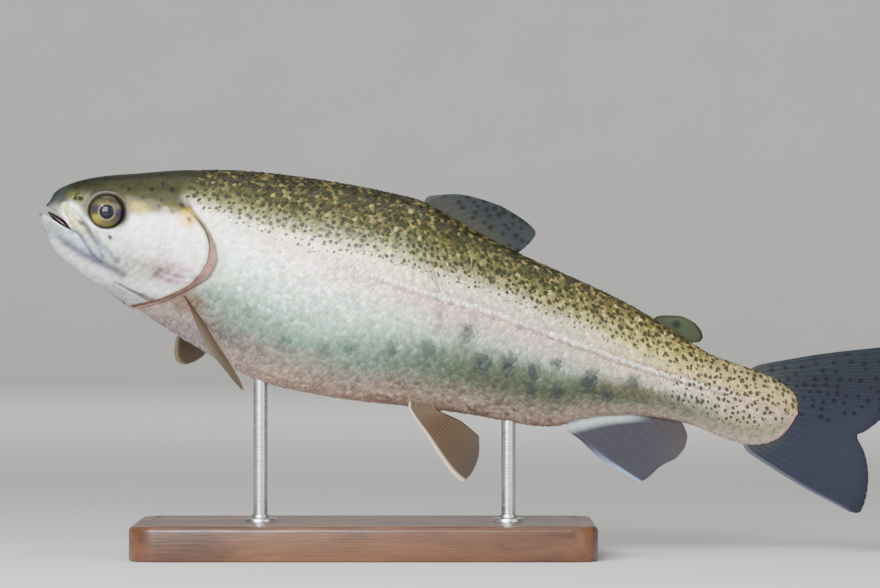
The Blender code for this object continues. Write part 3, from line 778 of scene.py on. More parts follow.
class Nodes:
    """Short names for building a material's nodes."""

    def __init__(self, name, **constants):
        self.material = bpy.data.materials.new(name)
        self.material.use_nodes = True
        self.tree = self.material.node_tree
        self.shader = self.tree.nodes["Principled BSDF"]
        for socket, value in constants.items():
            self.shader.inputs[socket.replace("_", " ")].default_value = value

    def add(self, kind, inputs=None, **settings):
        node = self.tree.nodes.new("ShaderNode" + kind)
        for name, value in settings.items():
            setattr(node, name, value)
        for key, value in (inputs or {}).items():
            self.put(node.inputs[key], value)
        return node

    def put(self, socket, value):
        if isinstance(value, bpy.types.NodeSocket):
            self.tree.links.new(value, socket)
        else:
            socket.default_value = value

    def math(self, operation, *values):
        return self.add("Math", dict(enumerate(values)), operation=operation).outputs[0]

    def mix(self, amount, a, b, blend="MIX"):
        node = self.add("Mix", data_type="RGBA", blend_type=blend)
        for index, value in ((0, amount), (6, a), (7, b)):
            self.put(node.inputs[index], value)
        return node.outputs[2]

    def scale(self, value, low, high, to_low, to_high):
        names = ("Value", "From Min", "From Max", "To Min", "To Max")
        node = self.add("MapRange", dict(zip(names, (value, low, high, to_low, to_high))))
        node.interpolation_type = "SMOOTHSTEP"
        return node.outputs[0]

    def attribute(self, name, output="Color"):
        return self.add("Attribute", attribute_name=name).outputs[output]

    def noise(self, vector, scale, detail=3.0, output="Fac"):
        node = self.add("TexNoise", {"Scale": scale, "Detail": detail, "Roughness": 0.55})
        self.put(node.inputs["Vector"], vector)
        return node.outputs[output]

    def bump(self, height, strength, distance):
        node = self.add("Bump", {"Height": height, "Strength": strength, "Distance": distance})
        self.put(self.shader.inputs["Normal"], node.outputs[0])

    def out(self, socket, value):
        self.put(self.shader.inputs[socket], value)


def rgb(*srgb):
    return (*linear(*srgb), 1.0)


def seen(*srgb):
    return (*shown(*srgb), 1.0)


SPOTS_PER_MM = 0.46
SPOT_SIZE = (0.20, 0.44)  # least and most reach of a spot, as a share of its cell
SPOT_WARP = 1.3


def fish_material(name, bump):
    n = Nodes(name, Coat_Weight=0.1, Coat_Roughness=0.12, Specular_IOR_Level=0.2)
    place = n.attribute("place", "Vector")
    warp = n.noise(place, 0.55, 2.0, "Color")
    shift = n.add("VectorMath", {0: warp, 1: (0.5, 0.5, 0.5)}, operation="SUBTRACT").outputs[0]
    shift = n.add("VectorMath", {0: shift, "Scale": SPOT_WARP}, operation="SCALE").outputs[0]
    moved = n.add("VectorMath", {0: place, 1: shift}, operation="ADD").outputs[0]
    settings = {"Vector": moved, "Scale": SPOTS_PER_MM, "Randomness": 0.9}
    cells = n.add("TexVoronoi", settings, voronoi_dimensions="2D")
    random = n.add("SeparateColor", {0: cells.outputs["Color"]}).outputs[0]
    least, most = SPOT_SIZE
    size = n.math("MULTIPLY_ADD", random, most - least, least)
    reach = n.math("MULTIPLY", n.attribute("spread", "Fac"), size)
    edge = n.math("SUBTRACT", reach, cells.outputs["Distance"])
    spot = n.scale(edge, -0.05, 0.06, 0.0, 0.93)
    tint = n.attribute("tint")
    fine = n.noise(place, 1.6, 3.0)
    tint = n.mix(1.0, tint, n.mix(fine, rgb(205, 205, 200), rgb(255, 255, 255)), "MULTIPLY")
    cloud = n.scale(n.noise(place, 0.42, 2.0), 0.3, 0.7, 0.0, 1.0)
    tint = n.mix(1.0, tint, n.mix(cloud, rgb(214, 214, 206), rgb(255, 255, 255)), "MULTIPLY")
    n.out("Base Color", n.mix(spot, tint, seen(50, 50, 28)))
    n.out("Metallic", n.math("MULTIPLY", n.attribute("silver", "Fac"), n.math("SUBTRACT", 1.0, spot)))
    n.out("Roughness", n.scale(n.noise(place, 2.3, 2.0), 0.2, 0.8, 0.36, 0.52))
    n.bump(n.noise(place, bump[0], 3.0), bump[1], bump[2])
    return n.material


def lining_material():
    n = Nodes("mouth_lining", Coat_Weight=0.5, Coat_Roughness=0.1, Roughness=0.4)
    at = n.add("TexCoord").outputs["Object"]
    # The lining's own red, painted dark as shade inside the mouth
    n.out("Base Color", n.mix(n.noise(at, 700.0), seen(74, 38, 34), seen(42, 27, 30)))
    n.bump(n.noise(at, 1500.0), 0.3, 0.0003)
    return n.material


# ---------------------------------------------------------------- build


def make_skin():
    lining = lining_material()
    skin = bpy.data.objects.new("skin", skin_mesh())
    bpy.context.scene.collection.objects.link(skin)
    skin.data.materials.append(fish_material("trout_skin", (2.4, 0.25, 0.0003)))
    cut_mouth(skin, lining)
    round_lips(skin)
    mesh = skin.data
    points = np.empty(len(mesh.vertices) * 3)
    mesh.vertices.foreach_get("co", points)
    set_markings(mesh, *unworld(points.reshape(-1, 3)))
    mesh.shade_smooth()
    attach(skin, "root")
    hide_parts("head", "lower_jaw", "gill_cover_left", "gill_cover_right", "trunk", "tail_stem")


def make_tongue():
    """The tongue, on the floor of the mouth, seen between the lips."""
    bm = bmesh.new()
    bmesh.ops.create_uvsphere(bm, u_segments=40, v_segments=24, radius=1.0)
    for vert in bm.verts:
        a, b, c = vert.co
        groove = 0.22 * math.exp(-((c / 0.3) ** 2)) * max(0.0, b)
        u = 7.8 + 6.6 * a
        v = -4.45 - 0.40 * (u - 7.0) + 1.25 * (b - groove)
        w = 4.3 * c * (1.0 - 0.25 * max(0.0, -a))
        vert.co = Vector(world(np.array(u), np.array(v), np.array(w)).tolist())
    bmesh.ops.recalc_face_normals(bm, faces=bm.faces)
    mesh = bpy.data.meshes.new("tongue")
    bm.to_mesh(mesh)
    bm.free()
    add_piece("tongue", mesh, bpy.data.materials["mouth_lining"])


# ---------------------------------------------------------------- scales

SCALE = (2.8, 2.15, 0.055)  # length, width and half thickness at full size
SCALE_TILT = 6.5
OUTLINE = 12
SCALE_FROM = 34.0
SCALE_ROWS = 46  # on each side of the lateral line
BAKE_PATCH = 0.0028


def scale_pitch(u):
    return np.interp(u, (34.0, 60.0, 120.0, 190.0, 235.0, 271.0), (1.15, 1.5, 1.62, 1.45, 1.2, 1.0))


def scale_places(side):
    """u, share and row of each scale's root on one side of the fish, row 0 on the lateral line."""
    rng = np.random.default_rng(11 if side > 0 else 12)
    columns = [SCALE_FROM]
    while columns[-1] < TAIL_END - 0.6:
        columns.append(columns[-1] + 1.08 * float(scale_pitch(columns[-1])))
    columns = np.array(columns)
    rows = np.arange(-SCALE_ROWS, SCALE_ROWS + 1)
    u, row = np.meshgrid(columns, rows, indexing="ij")
    step = scale_pitch(u)
    u = u + 0.54 * step * (row % 2)
    u = u + rng.normal(size=u.shape) * 0.06 * step
    line = share_of(u, smooth(LATERAL_LINE, np.clip(u, SNOUT, TAIL_END)))
    share = line + (row + rng.normal(size=u.shape) * 0.05) * 0.93 * step / girth(u)
    start = 0.6 + 2.6 * (1 - ramp(share, 0.1, 0.25))
    keep = (share > 0.004) & (share < 0.996) & (u - gill_u(share) > start) & (u < TAIL_END - 0.4)
    return u[keep], share[keep], row[keep]


def scale_mesh(name, side, u, share, row):
    """One joined mesh of overlapping scales that lie back along the body."""
    count = len(u)
    rng = np.random.default_rng(100 + len(name) + count)
    angle = 2 * math.pi * np.arange(OUTLINE) / OUTLINE
    length, width, thick = SCALE
    a = length * (0.5 + 0.5 * np.cos(angle))
    b = 0.5 * width * np.sin(angle) * (1 + 0.16 * np.cos(angle))
    a = np.concatenate((a, a * 0.985 + 0.01, [0.56 * length]))
    b = np.concatenate((b, b * 0.97, [0.0]))
    c = np.concatenate((np.full(OUTLINE, thick), np.full(OUTLINE, -thick), [2.4 * thick]))
    size = (scale_pitch(u) / 1.6 * (1 + 0.05 * rng.normal(size=count)))[:, None]
    size = size * (0.62 + 0.38 * ramp(u - gill_u(share), 0.5, 6.0))[:, None]
    tilt = np.radians(SCALE_TILT + 1.6 * rng.normal(size=count))[:, None]
    turn = np.radians(5.0 * rng.normal(size=count))[:, None]
    roll = np.radians(2.6 * rng.normal(size=count))[:, None]
    along, across = size * a, size * b
    at_u = u[:, None] + along * np.cos(turn) - across * np.sin(turn)
    at_arc = (share * girth(u))[:, None] + along * np.sin(turn) + across * np.cos(turn)
    v, _ = flank(u, share)
    level = head_relief(u, v, share)
    lift = level[:, None] - 0.10 + along * np.sin(tilt) + across * np.sin(roll) + size * c
    on_line = (row == 0)[:, None]
    lift = lift + np.where(on_line, 0.12 * (c[None, :] > 0.1), 0.0)
    at_u = np.minimum(at_u, TAIL_END)
    at_share = np.clip(at_arc / girth(u)[:, None], 0.0, 1.0)
    pu, pv, pw = push_out(at_u, at_share, lift)
    points = world(pu.ravel(), pv.ravel(), side * pw.ravel())

    each = 2 * OUTLINE + 1
    k = np.arange(OUTLINE)
    following = (k + 1) % OUTLINE
    cap = np.stack((np.full(OUTLINE, 2 * OUTLINE), k, following), -1)
    rim = np.vstack((
        np.stack((k, k + OUTLINE, following), -1),
        np.stack((following, k + OUTLINE, following + OUTLINE), -1),
    ))
    under = np.array([(OUTLINE, OUTLINE + j + 1, OUTLINE + j) for j in range(1, OUTLINE - 1)])
    template = np.vstack((cap, rim, under))
    if side < 0:
        template = template[:, ::-1]
    faces = (np.arange(count)[:, None, None] * each + template[None]).reshape(-1, 3)
    mesh = make_mesh(name, points, faces)

    colour, silver, spread, _ = markings(u + 0.6 * length, v, side * flank(u, share)[1])
    up = ramp(v - smooth(LATERAL_LINE, u), 3.0, 12.0)
    chance = rng.normal(size=count)
    bright = 1 + 0.07 * chance + up * 0.2 * chance
    stem = ramp(u, 190.0, 250.0) * up
    bright = bright * (1 + 0.22 * stem * rng.normal(size=count))
    # Painted glints: some scales of the upper flank are painted paler, and made more metallic, for sparkle
    pale = shown(222, 212, 176)
    painted_glint = np.clip(rng.normal(size=count) * 0.5 + 0.1, 0, 1) * up * (0.5 + 0.5 * ramp(u, 120, 230))
    colour = colour + (pale - colour) * (0.55 * painted_glint)[:, None]
    hue = 1 + 0.025 * rng.normal(size=(count, 3))
    free = np.concatenate((0.5 + 0.5 * np.cos(angle), 0.5 + 0.5 * np.cos(angle), [0.5]))
    centre = np.concatenate((np.zeros(2 * OUTLINE), [1.0]))
    edge = 1 - (0.10 + 0.26 * up)[:, None] * ((free > 0.6) * (1 - centre))[None, :]
    tint = colour[:, None, :] * (bright[:, None, None] * hue[:, None, :]) * edge[:, :, None]
    set_colours(mesh, "tint", np.clip(tint, 0.003, 0.95).reshape(-1, 3))
    gleam = silver + 0.08 * rng.normal(size=count) + 0.25 * painted_glint
    set_values(mesh, "silver", np.repeat(np.clip(gleam, 0.05, 0.85), each))
    set_values(mesh, "spread", np.repeat(spread, each))
    place = np.stack((at_u, side * at_arc, 0 * at_u), -1).reshape(-1, 3)
    set_vectors(mesh, "place", place)

    # Each scale's patch of the bake lies at its root's place on the unrolled flank
    lay = mesh.uv_layers.new(name="OFBake")
    su = 0.01 + 0.975 * (u - u.min()) / (u.max() - u.min())
    sv = 0.01 + 0.975 * (share - share.min()) / (share.max() - share.min())
    ua = su[:, None] + BAKE_PATCH * (a / length)[None, :]
    va = sv[:, None] + BAKE_PATCH * (b / width + 0.5)[None, :]
    uv = np.stack((ua, va), -1).reshape(-1, 2)
    corner = np.empty(len(mesh.loops), np.int32)
    mesh.loops.foreach_get("vertex_index", corner)
    lay.data.foreach_set("uv", uv[corner].astype(np.float32).ravel())
    return mesh


def make_scales():
    made = fish_material("trout_scales", (3.2, 0.18, 0.0002))
    for side, side_name in ((1, "left"), (-1, "right")):
        u, share, row = scale_places(side)
        middle = int(np.median(row))
        for part, part_name in ((row <= middle, "upper"), (row > middle, "lower")):
            name = f"scales_{side_name}_{part_name}"
            mesh = scale_mesh(name, side, u[part], share[part], row[part])
            add_piece(name, mesh, made, angle=40.0)


# ---------------------------------------------------------------- fins

# Edges of each fin: its root, leading edge, free margin and trailing edge, in the fin's plane
FIN_EDGES = {
    "dorsal_fin": (
        ((127.0, 33.2), (140.0, 30.0), (152.0, 27.3), (162.0, 25.3)),
        ((127.0, 33.2), (127.4, 36.9), (131.8, 39.0), (138.2, 40.9), (145.0, 41.2), (152.8, 40.7)),
        ((152.8, 40.7), (159.7, 38.8), (165.0, 36.7), (167.3, 34.4), (166.0, 30.8)),
        ((162.0, 25.3), (164.4, 28.2), (166.0, 30.8)),
    ),
    "anal_fin": (
        ((194.8, -24.8), (206.0, -19.6), (220.0, -15.9), (232.5, -14.8)),
        ((194.8, -24.8), (195.4, -28.7), (200.6, -30.9), (209.0, -35.3), (217.0, -37.9), (224.6, -40.0)),
        ((224.6, -40.0), (227.2, -37.4), (230.4, -32.4), (234.6, -28.4), (236.6, -24.0)),
        ((232.5, -14.8), (236.2, -19.4), (236.6, -24.0)),
    ),
    "caudal_fin": (
        ((251.0, 7.6), (262.0, 4.8), (267.5, 0.0), (268.2, -5.0), (265.8, -11.0), (261.0, -14.6), (255.4, -17.2)),
        ((251.0, 7.6), (254.0, 10.4), (262.0, 14.3), (276.0, 20.6), (293.0, 27.2), (303.0, 30.7), (309.2, 31.4)),
        (
            (309.2, 31.4), (310.0, 28.6), (307.6, 20.0), (304.2, 11.6), (300.0, 3.0), (296.0, -2.2),
            (293.6, -4.7), (297.2, -9.2), (299.8, -14.0), (301.4, -19.4), (302.0, -25.2), (301.2, -30.0),
            (297.8, -30.8),
        ),
        ((255.4, -17.2), (257.6, -19.6), (263.0, -21.6), (279.0, -26.5), (297.8, -30.8)),
    ),
    "pelvic_fin": (
        ((139.8, -32.6), (143.6, -32.0), (148.0, -31.4)),
        ((139.8, -32.6), (140.2, -35.4), (143.2, -38.4), (148.4, -42.8), (155.4, -49.2), (160.6, -53.2), (164.8, -55.1)),
        ((164.8, -55.1), (167.2, -51.4), (168.0, -45.0), (166.4, -38.8)),
        ((148.0, -31.4), (150.5, -33.8), (159.0, -35.4), (166.4, -38.8)),
    ),
    "pectoral_fin": (
        ((-2.5, -2.3), (-2.5, 0.0), (-2.5, 2.2)),
        ((-2.5, -2.3), (4.0, -3.0), (15.0, -5.0), (25.0, -6.4), (32.6, -6.0), (36.4, -3.6)),
        ((36.4, -3.6), (36.4, -0.4), (33.0, 3.6), (26.0, 6.6), (17.0, 6.8)),
        ((-2.5, 2.2), (2.0, 2.7), (8.0, 4.6), (17.0, 6.8)),
    ),
    "adipose_fin": (
        ((214.4, 13.4), (219.0, 12.0), (224.0, 10.6), (228.4, 9.8)),
        ((214.4, 13.4), (215.2, 17.4), (221.5, 19.5), (225.0, 19.7), (228.6, 18.8)),
        ((228.6, 18.8), (231.2, 17.0), (232.7, 14.6), (231.8, 12.6)),
        ((228.4, 9.8), (229.4, 11.7), (231.8, 12.6)),
    ),
}  # fmt: skip


def even(points):
    """A curve as a function of its share of length."""
    curve = rounded(points, 10)
    along = np.concatenate(([0.0], np.cumsum(np.linalg.norm(np.diff(curve, axis=0), axis=1))))
    along /= along[-1]
    return lambda x: np.stack([np.interp(x, along, curve[:, k]) for k in (0, 1)], -1)


def fin_plane(edges):
    """Places (s, r) in the fin, s from its leading to its trailing edge and r from root to margin."""
    root, lead, margin, trail = (even(e) for e in edges)
    corners = [root(0.0), root(1.0), lead(1.0), trail(1.0)]

    def place(s, r):
        a, b = np.asarray(s)[..., None], np.asarray(r)[..., None]
        sides = (1 - a) * lead(r) + a * trail(r) + (1 - b) * root(s) + b * margin(s)
        near = (1 - a) * corners[0] + a * corners[1]
        far = (1 - a) * corners[2] + a * corners[3]
        return sides - (1 - b) * near - b * far

    return place


def flat_fin(p, q, off):
    return p, q, off


def pelvic_fin(side):
    slope = math.tan(math.radians(26.0))
    return lambda p, q, off: (p, q, side * (6.0 + slope * (-35.0 - q)) + off)


def pectoral_fin(reach, turn, side):
    along = Vector((reach[0], reach[1], side * reach[2])).normalized()
    out = Vector((0.0, 0.0, side))
    across = (out - out.dot(along) * along).normalized()
    across.rotate(Matrix.Rotation(math.radians(turn), 3, along))
    through = along.cross(across)
    root = (57.6, -19.6, side * 11.6)
    axes = list(zip(root, along, across, through))
    return lambda p, q, off: tuple(o + p * a + q * b + off * c for o, a, b, c in axes)


def fin_wave(s, r, wave):
    size, turns, phase = wave
    return size * r * np.sin(2 * math.pi * (turns * s + 0.25 * r) + phase)


def membrane_mesh(name, plane, place, wave, thickness, notch, rays, paint, across=150, along=90):
    """A thin closed sheet, thicker at the root, with a slightly toothed margin."""
    s, r = np.meshgrid(np.linspace(0, 1, across), np.linspace(0, 1, along), indexing="ij")
    tooth = np.abs(np.sin(math.pi * (4 * rays) * s)) ** 0.7
    reach = 1 - notch * (1 - tooth) * ramp(s, 0.0, 0.06) * ramp(1 - s, 0.0, 0.06)
    r = r * reach
    p = plane(s, r)
    border = np.minimum(np.minimum(s, 1 - s) * 22, (reach - r) * 26)
    half = thickness(s, r) * (0.25 + 0.75 * ramp(border, 0.0, 1.0))
    swell = fin_wave(s, r, wave)
    sheets = [place(p[..., 0], p[..., 1], swell + sign * half) for sign in (1, -1)]
    points = np.vstack([np.stack(sheet, -1).reshape(-1, 3) for sheet in sheets])
    i, j = np.meshgrid(np.arange(across - 1), np.arange(along - 1), indexing="ij")
    a = (i * along + j).ravel()
    front = np.stack((a, a + along, a + along + 1, a + 1), -1)
    total = across * along
    back = front[:, ::-1] + total
    i, j = np.arange(across - 1) * along, np.arange(along - 1)
    rims = []
    for low, high in ((i + along, i), (i + along - 1, i + 2 * along - 1), (j, j + 1),
                      (j + 1 + (across - 1) * along, j + (across - 1) * along)):  # fmt: skip
        rims.append(np.stack((low, high, high + total, low + total), -1))
    mesh = make_mesh(name, world(*points.T), front, back, *rims)
    colour = paint(s.ravel(), r.ravel(), p.reshape(-1, 2))
    set_colours(mesh, "tint", np.vstack((colour, colour)))
    return mesh


RAY_SIDES, RAY_STEPS = 6, 30
FORKS = (0.38, 0.68)  # where a ray forks, as a share of its length


def ray_mesh(name, plane, place, wave, rays, thick, paint):
    """Every ray of a fin, each forking twice on its way to the margin."""
    tracks = []
    gap = 1.0 / rays
    first, second = FORKS
    for i in range(rays):
        s0 = (i + 0.5) * gap
        if i == 0:  # the first ray does not fork
            tracks.append((s0, s0, 0.0, 1.0, 1.0, 0.45))
            continue
        tracks.append((s0, s0, 0.0, first, 1.0, 0.72))
        for d in (-0.25, 0.25):
            s1 = s0 + d * gap
            tracks.append((s0, s1, first - 0.01, second, 0.66, 0.5))
            for e in (-0.125, 0.125):
                tracks.append((s1, s1 + e * gap, second - 0.01, 1.0, 0.46, 0.3))
    t = np.linspace(0, 1, RAY_STEPS)[None, :]
    s_from, s_to, r_from, r_to, wide_from, wide_to = (np.array(x)[:, None] for x in zip(*tracks))
    r = r_from + (r_to - r_from) * t
    s = s_from + (s_to - s_from) * ramp(t, 0.0, 0.55)
    p = plane(s, r)
    run = np.gradient(p, axis=1)
    run /= np.maximum(np.linalg.norm(run, axis=-1, keepdims=True), 1e-9)
    over_ = np.stack((-run[..., 1], run[..., 0]), -1)
    # The joints along a ray show as small nicks
    nick = 1 - 0.10 * (np.arange(RAY_STEPS)[None, :] % 2)
    wide = thick[0] * (wide_from + (wide_to - wide_from) * t) * nick
    deep = thick[1] * (wide_from + (wide_to - wide_from) * t) * nick
    swell = fin_wave(s, r, wave)
    rings = []
    for k in range(RAY_SIDES):
        angle = 2 * math.pi * k / RAY_SIDES
        q = p + over_ * (wide * math.cos(angle))[..., None]
        rings.append(np.stack(place(q[..., 0], q[..., 1], swell + deep * math.sin(angle)), -1))
    rings = np.stack(rings, 2)  # track, step, side, xyz
    count = len(tracks)
    points = rings.reshape(-1, 3)
    each = RAY_STEPS * RAY_SIDES
    tube = tube_faces(RAY_STEPS, RAY_SIDES)
    faces = (np.arange(count)[:, None, None] * each + tube[None]).reshape(-1, 4)
    caps = np.array([np.arange(RAY_SIDES)[::-1], np.arange(each - RAY_SIDES, each)])
    caps = (np.arange(count)[:, None, None] * each + caps[None]).reshape(-1, RAY_SIDES)
    mesh = make_mesh(name, world(*points.T), faces, caps)
    spread_s = np.repeat(s[..., None], RAY_SIDES, axis=2).ravel()
    spread_r = np.repeat(r[..., None], RAY_SIDES, axis=2).ravel()
    spread_p = np.repeat(p[:, :, None, :], RAY_SIDES, axis=2).reshape(-1, 2)
    shade = paint(spread_s, spread_r, spread_p)
    set_colours(mesh, "tint", shade)
    return mesh


def spot_rows(plane, rays, chance, first, step, seed):
    """Spots in rows between the rays: (place along, place up, size)."""
    rng = np.random.default_rng(seed)
    found = []
    for i in range(rays):
        s = (i + 0.5) / rays
        r = first + step * rng.uniform(0, 0.9)
        while r < 0.96:
            if rng.uniform() < chance(s, r):
                at = plane(np.array(s + rng.normal() * 0.12 / rays), np.array(r))
                found.append((at[0], at[1], rng.uniform(0.75, 1.15)))
            r += step * rng.uniform(0.8, 1.2)
    return np.array(found)


def spotted(p, spots, size):
    amount = np.zeros(len(p))
    for x, y, s in spots:
        d = np.hypot(p[:, 0] - x, p[:, 1] - y) / (size * s)
        amount = np.maximum(amount, 1 - ramp(d, 0.6, 1.25))
    return amount


def painter(fin, plane):
    """The colours of one fin as a function of (s, r) and the place in its plane."""
    if fin == "caudal_fin":
        spots = spot_rows(plane, 17, lambda s, r: 0.92 - 1.1 * ramp(s, 0.3, 0.75) - 0.25 * r, 0.06, 0.088, 5)

    if fin == "dorsal_fin":
        spots = spot_rows(plane, 11, lambda s, r: 0.75, 0.22, 0.2, 6)

    def paint(s, r, p):
        grey = np.tile(shown(70, 78, 84), (len(s), 1))
        if fin == "caudal_fin":
            c = over(np.tile(shown(64, 72, 98), (len(s), 1)), (54, 64, 80), 1 - ramp(s, 0.1, 0.5))
            c = over(c, (104, 108, 96), (1 - ramp(r, 0.0, 0.22)) * 0.6)
            c = over(c, (84, 98, 100), hill(s - 0.08, 0.1) * (1 - r) * 0.5)
            c = over(c, (150, 156, 166), ramp(s, 0.955, 0.99) * 0.8)
            c = over(c, (44, 50, 70), ramp(r, 0.86, 1.0) * 0.5)
            return over(c, (20, 24, 34), spotted(p, spots, 0.85) * 0.85)
        if fin == "dorsal_fin":
            c = over(grey, (96, 98, 78), (1 - ramp(r, 0.1, 0.5)) * 0.7)
            c = over(c, (110, 116, 120), (1 - ramp(s, 0.0, 0.05)) * 0.5)
            c = over(c, (56, 62, 68), ramp(r, 0.75, 1.0) * 0.5)
            return over(c, (28, 30, 28), spotted(p, spots, 0.95) * 0.8)
        if fin == "anal_fin":
            c = over(np.tile(shown(104, 103, 118), (len(s), 1)), (118, 104, 96), ramp(s, 0.5, 0.9) * 0.5)
            c = over(c, (216, 220, 226), (1 - ramp(r, 0.05, 0.2)) * (1 - ramp(s, 0.45, 0.75)) * 0.85)
            return over(c, (196, 206, 222), (1 - ramp(s, 0.02, 0.08)) * ramp(r, 0.3, 0.8) * 0.8)
        if fin == "pelvic_fin":
            c = over(np.tile(shown(130, 104, 76), (len(s), 1)), (150, 132, 108), 1 - ramp(r, 0.0, 0.4))
            c = over(c, (98, 92, 88), ramp(r, 0.5, 1.0) * 0.55)
            return over(c, (222, 214, 206), (1 - ramp(s, 0.03, 0.11)) * 0.85)
        if fin.startswith("pectoral_fin"):
            c = over(np.tile(shown(148, 130, 108), (len(s), 1)), (146, 98, 70), 1 - ramp(r, 0.1, 0.45))
            c = over(c, (164, 154, 136), ramp(r, 0.6, 1.0) * 0.85)
            return over(c, (224, 214, 200), (1 - ramp(s, 0.02, 0.1)) * ramp(r, 0.1, 0.4) * 0.5)
        c = over(np.tile(shown(104, 116, 84), (len(s), 1)), (78, 86, 56), 1 - ramp(r, 0.1, 0.5))
        c = over(c, (44, 50, 36), ramp(r, 0.84, 0.97) * 0.85 + (1 - ramp(s, 0.03, 0.1)) * 0.5)
        return over(c, (40, 48, 34), blob(p[:, 0], p[:, 1], (222.6, 16.6), (1.5, 1.2), 0.5) * 0.9)

    # The fins face the light more squarely than the body
    return lambda s, r, p: 0.64 * paint(s, r, p)


def fin_material(name, bump, alpha):
    n = Nodes(name, Roughness=0.55, Specular_IOR_Level=0.14, Alpha=alpha)
    at = n.add("TexCoord").outputs["Object"]
    tint = n.attribute("tint")
    cloud = n.mix(n.noise(at, 900.0), rgb(214, 214, 214), rgb(255, 255, 255))
    n.out("Base Color", n.mix(1.0, tint, cloud, "MULTIPLY"))
    n.bump(n.noise(at, bump), 0.2, 0.0002)
    return n.material


FINS = (
    # piece, edges, rays, thickness of ray, wave, teeth of the margin, slot
    ("dorsal_fin", "dorsal_fin", 12, (0.36, 0.30), (0.7, 0.7, 0.4), 0.02, "grey_fins"),
    ("anal_fin", "anal_fin", 12, (0.36, 0.30), (0.6, 0.7, 2.0), 0.02, "grey_fins"),
    ("caudal_fin", "caudal_fin", 22, (0.46, 0.36), (0.8, 1.0, 1.0), 0.012, "tail_fin"),
    ("pelvic_fin_left", "pelvic_fin", 10, (0.36, 0.28), (0.4, 0.8, 0.0), 0.02, "pale_fins"),
    ("pelvic_fin_right", "pelvic_fin", 10, (0.36, 0.28), (0.4, 0.8, 2.0), 0.02, "pale_fins"),
    ("pectoral_fin_left", "pectoral_fin", 13, (0.30, 0.26), (0.5, 0.8, 1.0), 0.03, "pale_fins"),
    ("pectoral_fin_right", "pectoral_fin", 13, (0.30, 0.26), (0.5, 0.8, 2.5), 0.03, "pale_fins"),
)
FIN_PLACES = {
    "pelvic_fin_left": pelvic_fin(1), "pelvic_fin_right": pelvic_fin(-1),
    "pectoral_fin_left": pectoral_fin((25.2, -24.3, 11.0), 16.0, 1),
    "pectoral_fin_right": pectoral_fin((4.0, -21.5, 28.0), 78.0, -1),
}  # fmt: skip


def make_fins():
    skin = fin_material("fin_membrane", 1800.0, 0.985)
    ray = fin_material("fin_rays", 2600.0, 1.0)
    for name, edges, rays, thick, wave, notch, slot in FINS:
        plane = fin_plane(FIN_EDGES[edges])
        place = FIN_PLACES.get(name, flat_fin)
        paint = painter(edges, plane)

        def lighter(s, r, p, paint=paint):
            return paint(s, r, p) * 1.25 + 0.003

        def thin(s, r):
            return 0.24 - 0.19 * ramp(r, 0.0, 0.45)

        web = membrane_mesh(name + "_web", plane, place, wave, thin, notch, rays, paint)
        add_piece(name, web, skin, (name,))
        rayed = ray_mesh(name + "_rays", plane, place, wave, rays, thick, lighter)
        add_piece(name + "_rays", rayed, ray, (name,))
    plane = fin_plane(FIN_EDGES["adipose_fin"])

    def fleshy(s, r):
        return 0.2 + 1.5 * (1 - r) ** 0.8 * np.sqrt(np.clip(4 * s * (1 - s), 0, 1))

    wave = (0.0, 0.0, 0.0)
    paint = painter("adipose_fin", plane)
    flesh = membrane_mesh("adipose", plane, flat_fin, wave, fleshy, 0.0, 1, paint, 60, 48)
    add_piece("adipose_fin", flesh, ray, ("adipose_fin",))


# ---------------------------------------------------------------- eyes

EYE_ROUND, EYE_RINGS = 120, 72
# Patches of the iris: colour, centre, reach, softness, strength
GOLD_OF_IRIS = (
    ((178, 168, 70), (-2.6, -3.3), (2.1, 1.5), 0.7, 0.9),
    ((134, 126, 62), (1.2, -4.2), (3.2, 1.2), 0.7, 0.75),
)
SHADES_OF_IRIS = (
    ((140, 144, 124), (2.2, 2.6), (1.7, 1.0), 0.7, 0.6),
    ((66, 58, 86), (-3.9, -0.1), (1.1, 1.5), 0.6, 0.95),
    ((58, 50, 92), (4.4, 0.7), (1.35, 1.55), 0.6, 0.95),
    ((96, 84, 110), (5.0, -1.6), (1.2, 1.6), 0.7, 0.5),
)


def eye_material():
    n = Nodes("eye", Coat_Weight=0.4, Coat_Roughness=0.01, Roughness=0.5, Specular_IOR_Level=0.1)
    n.out("Base Color", n.attribute("tint"))
    n.out("Metallic", n.attribute("silver", "Fac"))
    at = n.add("TexCoord").outputs["Object"]
    n.bump(n.noise(at, 2500.0), 0.12, 0.0001)
    return n.material


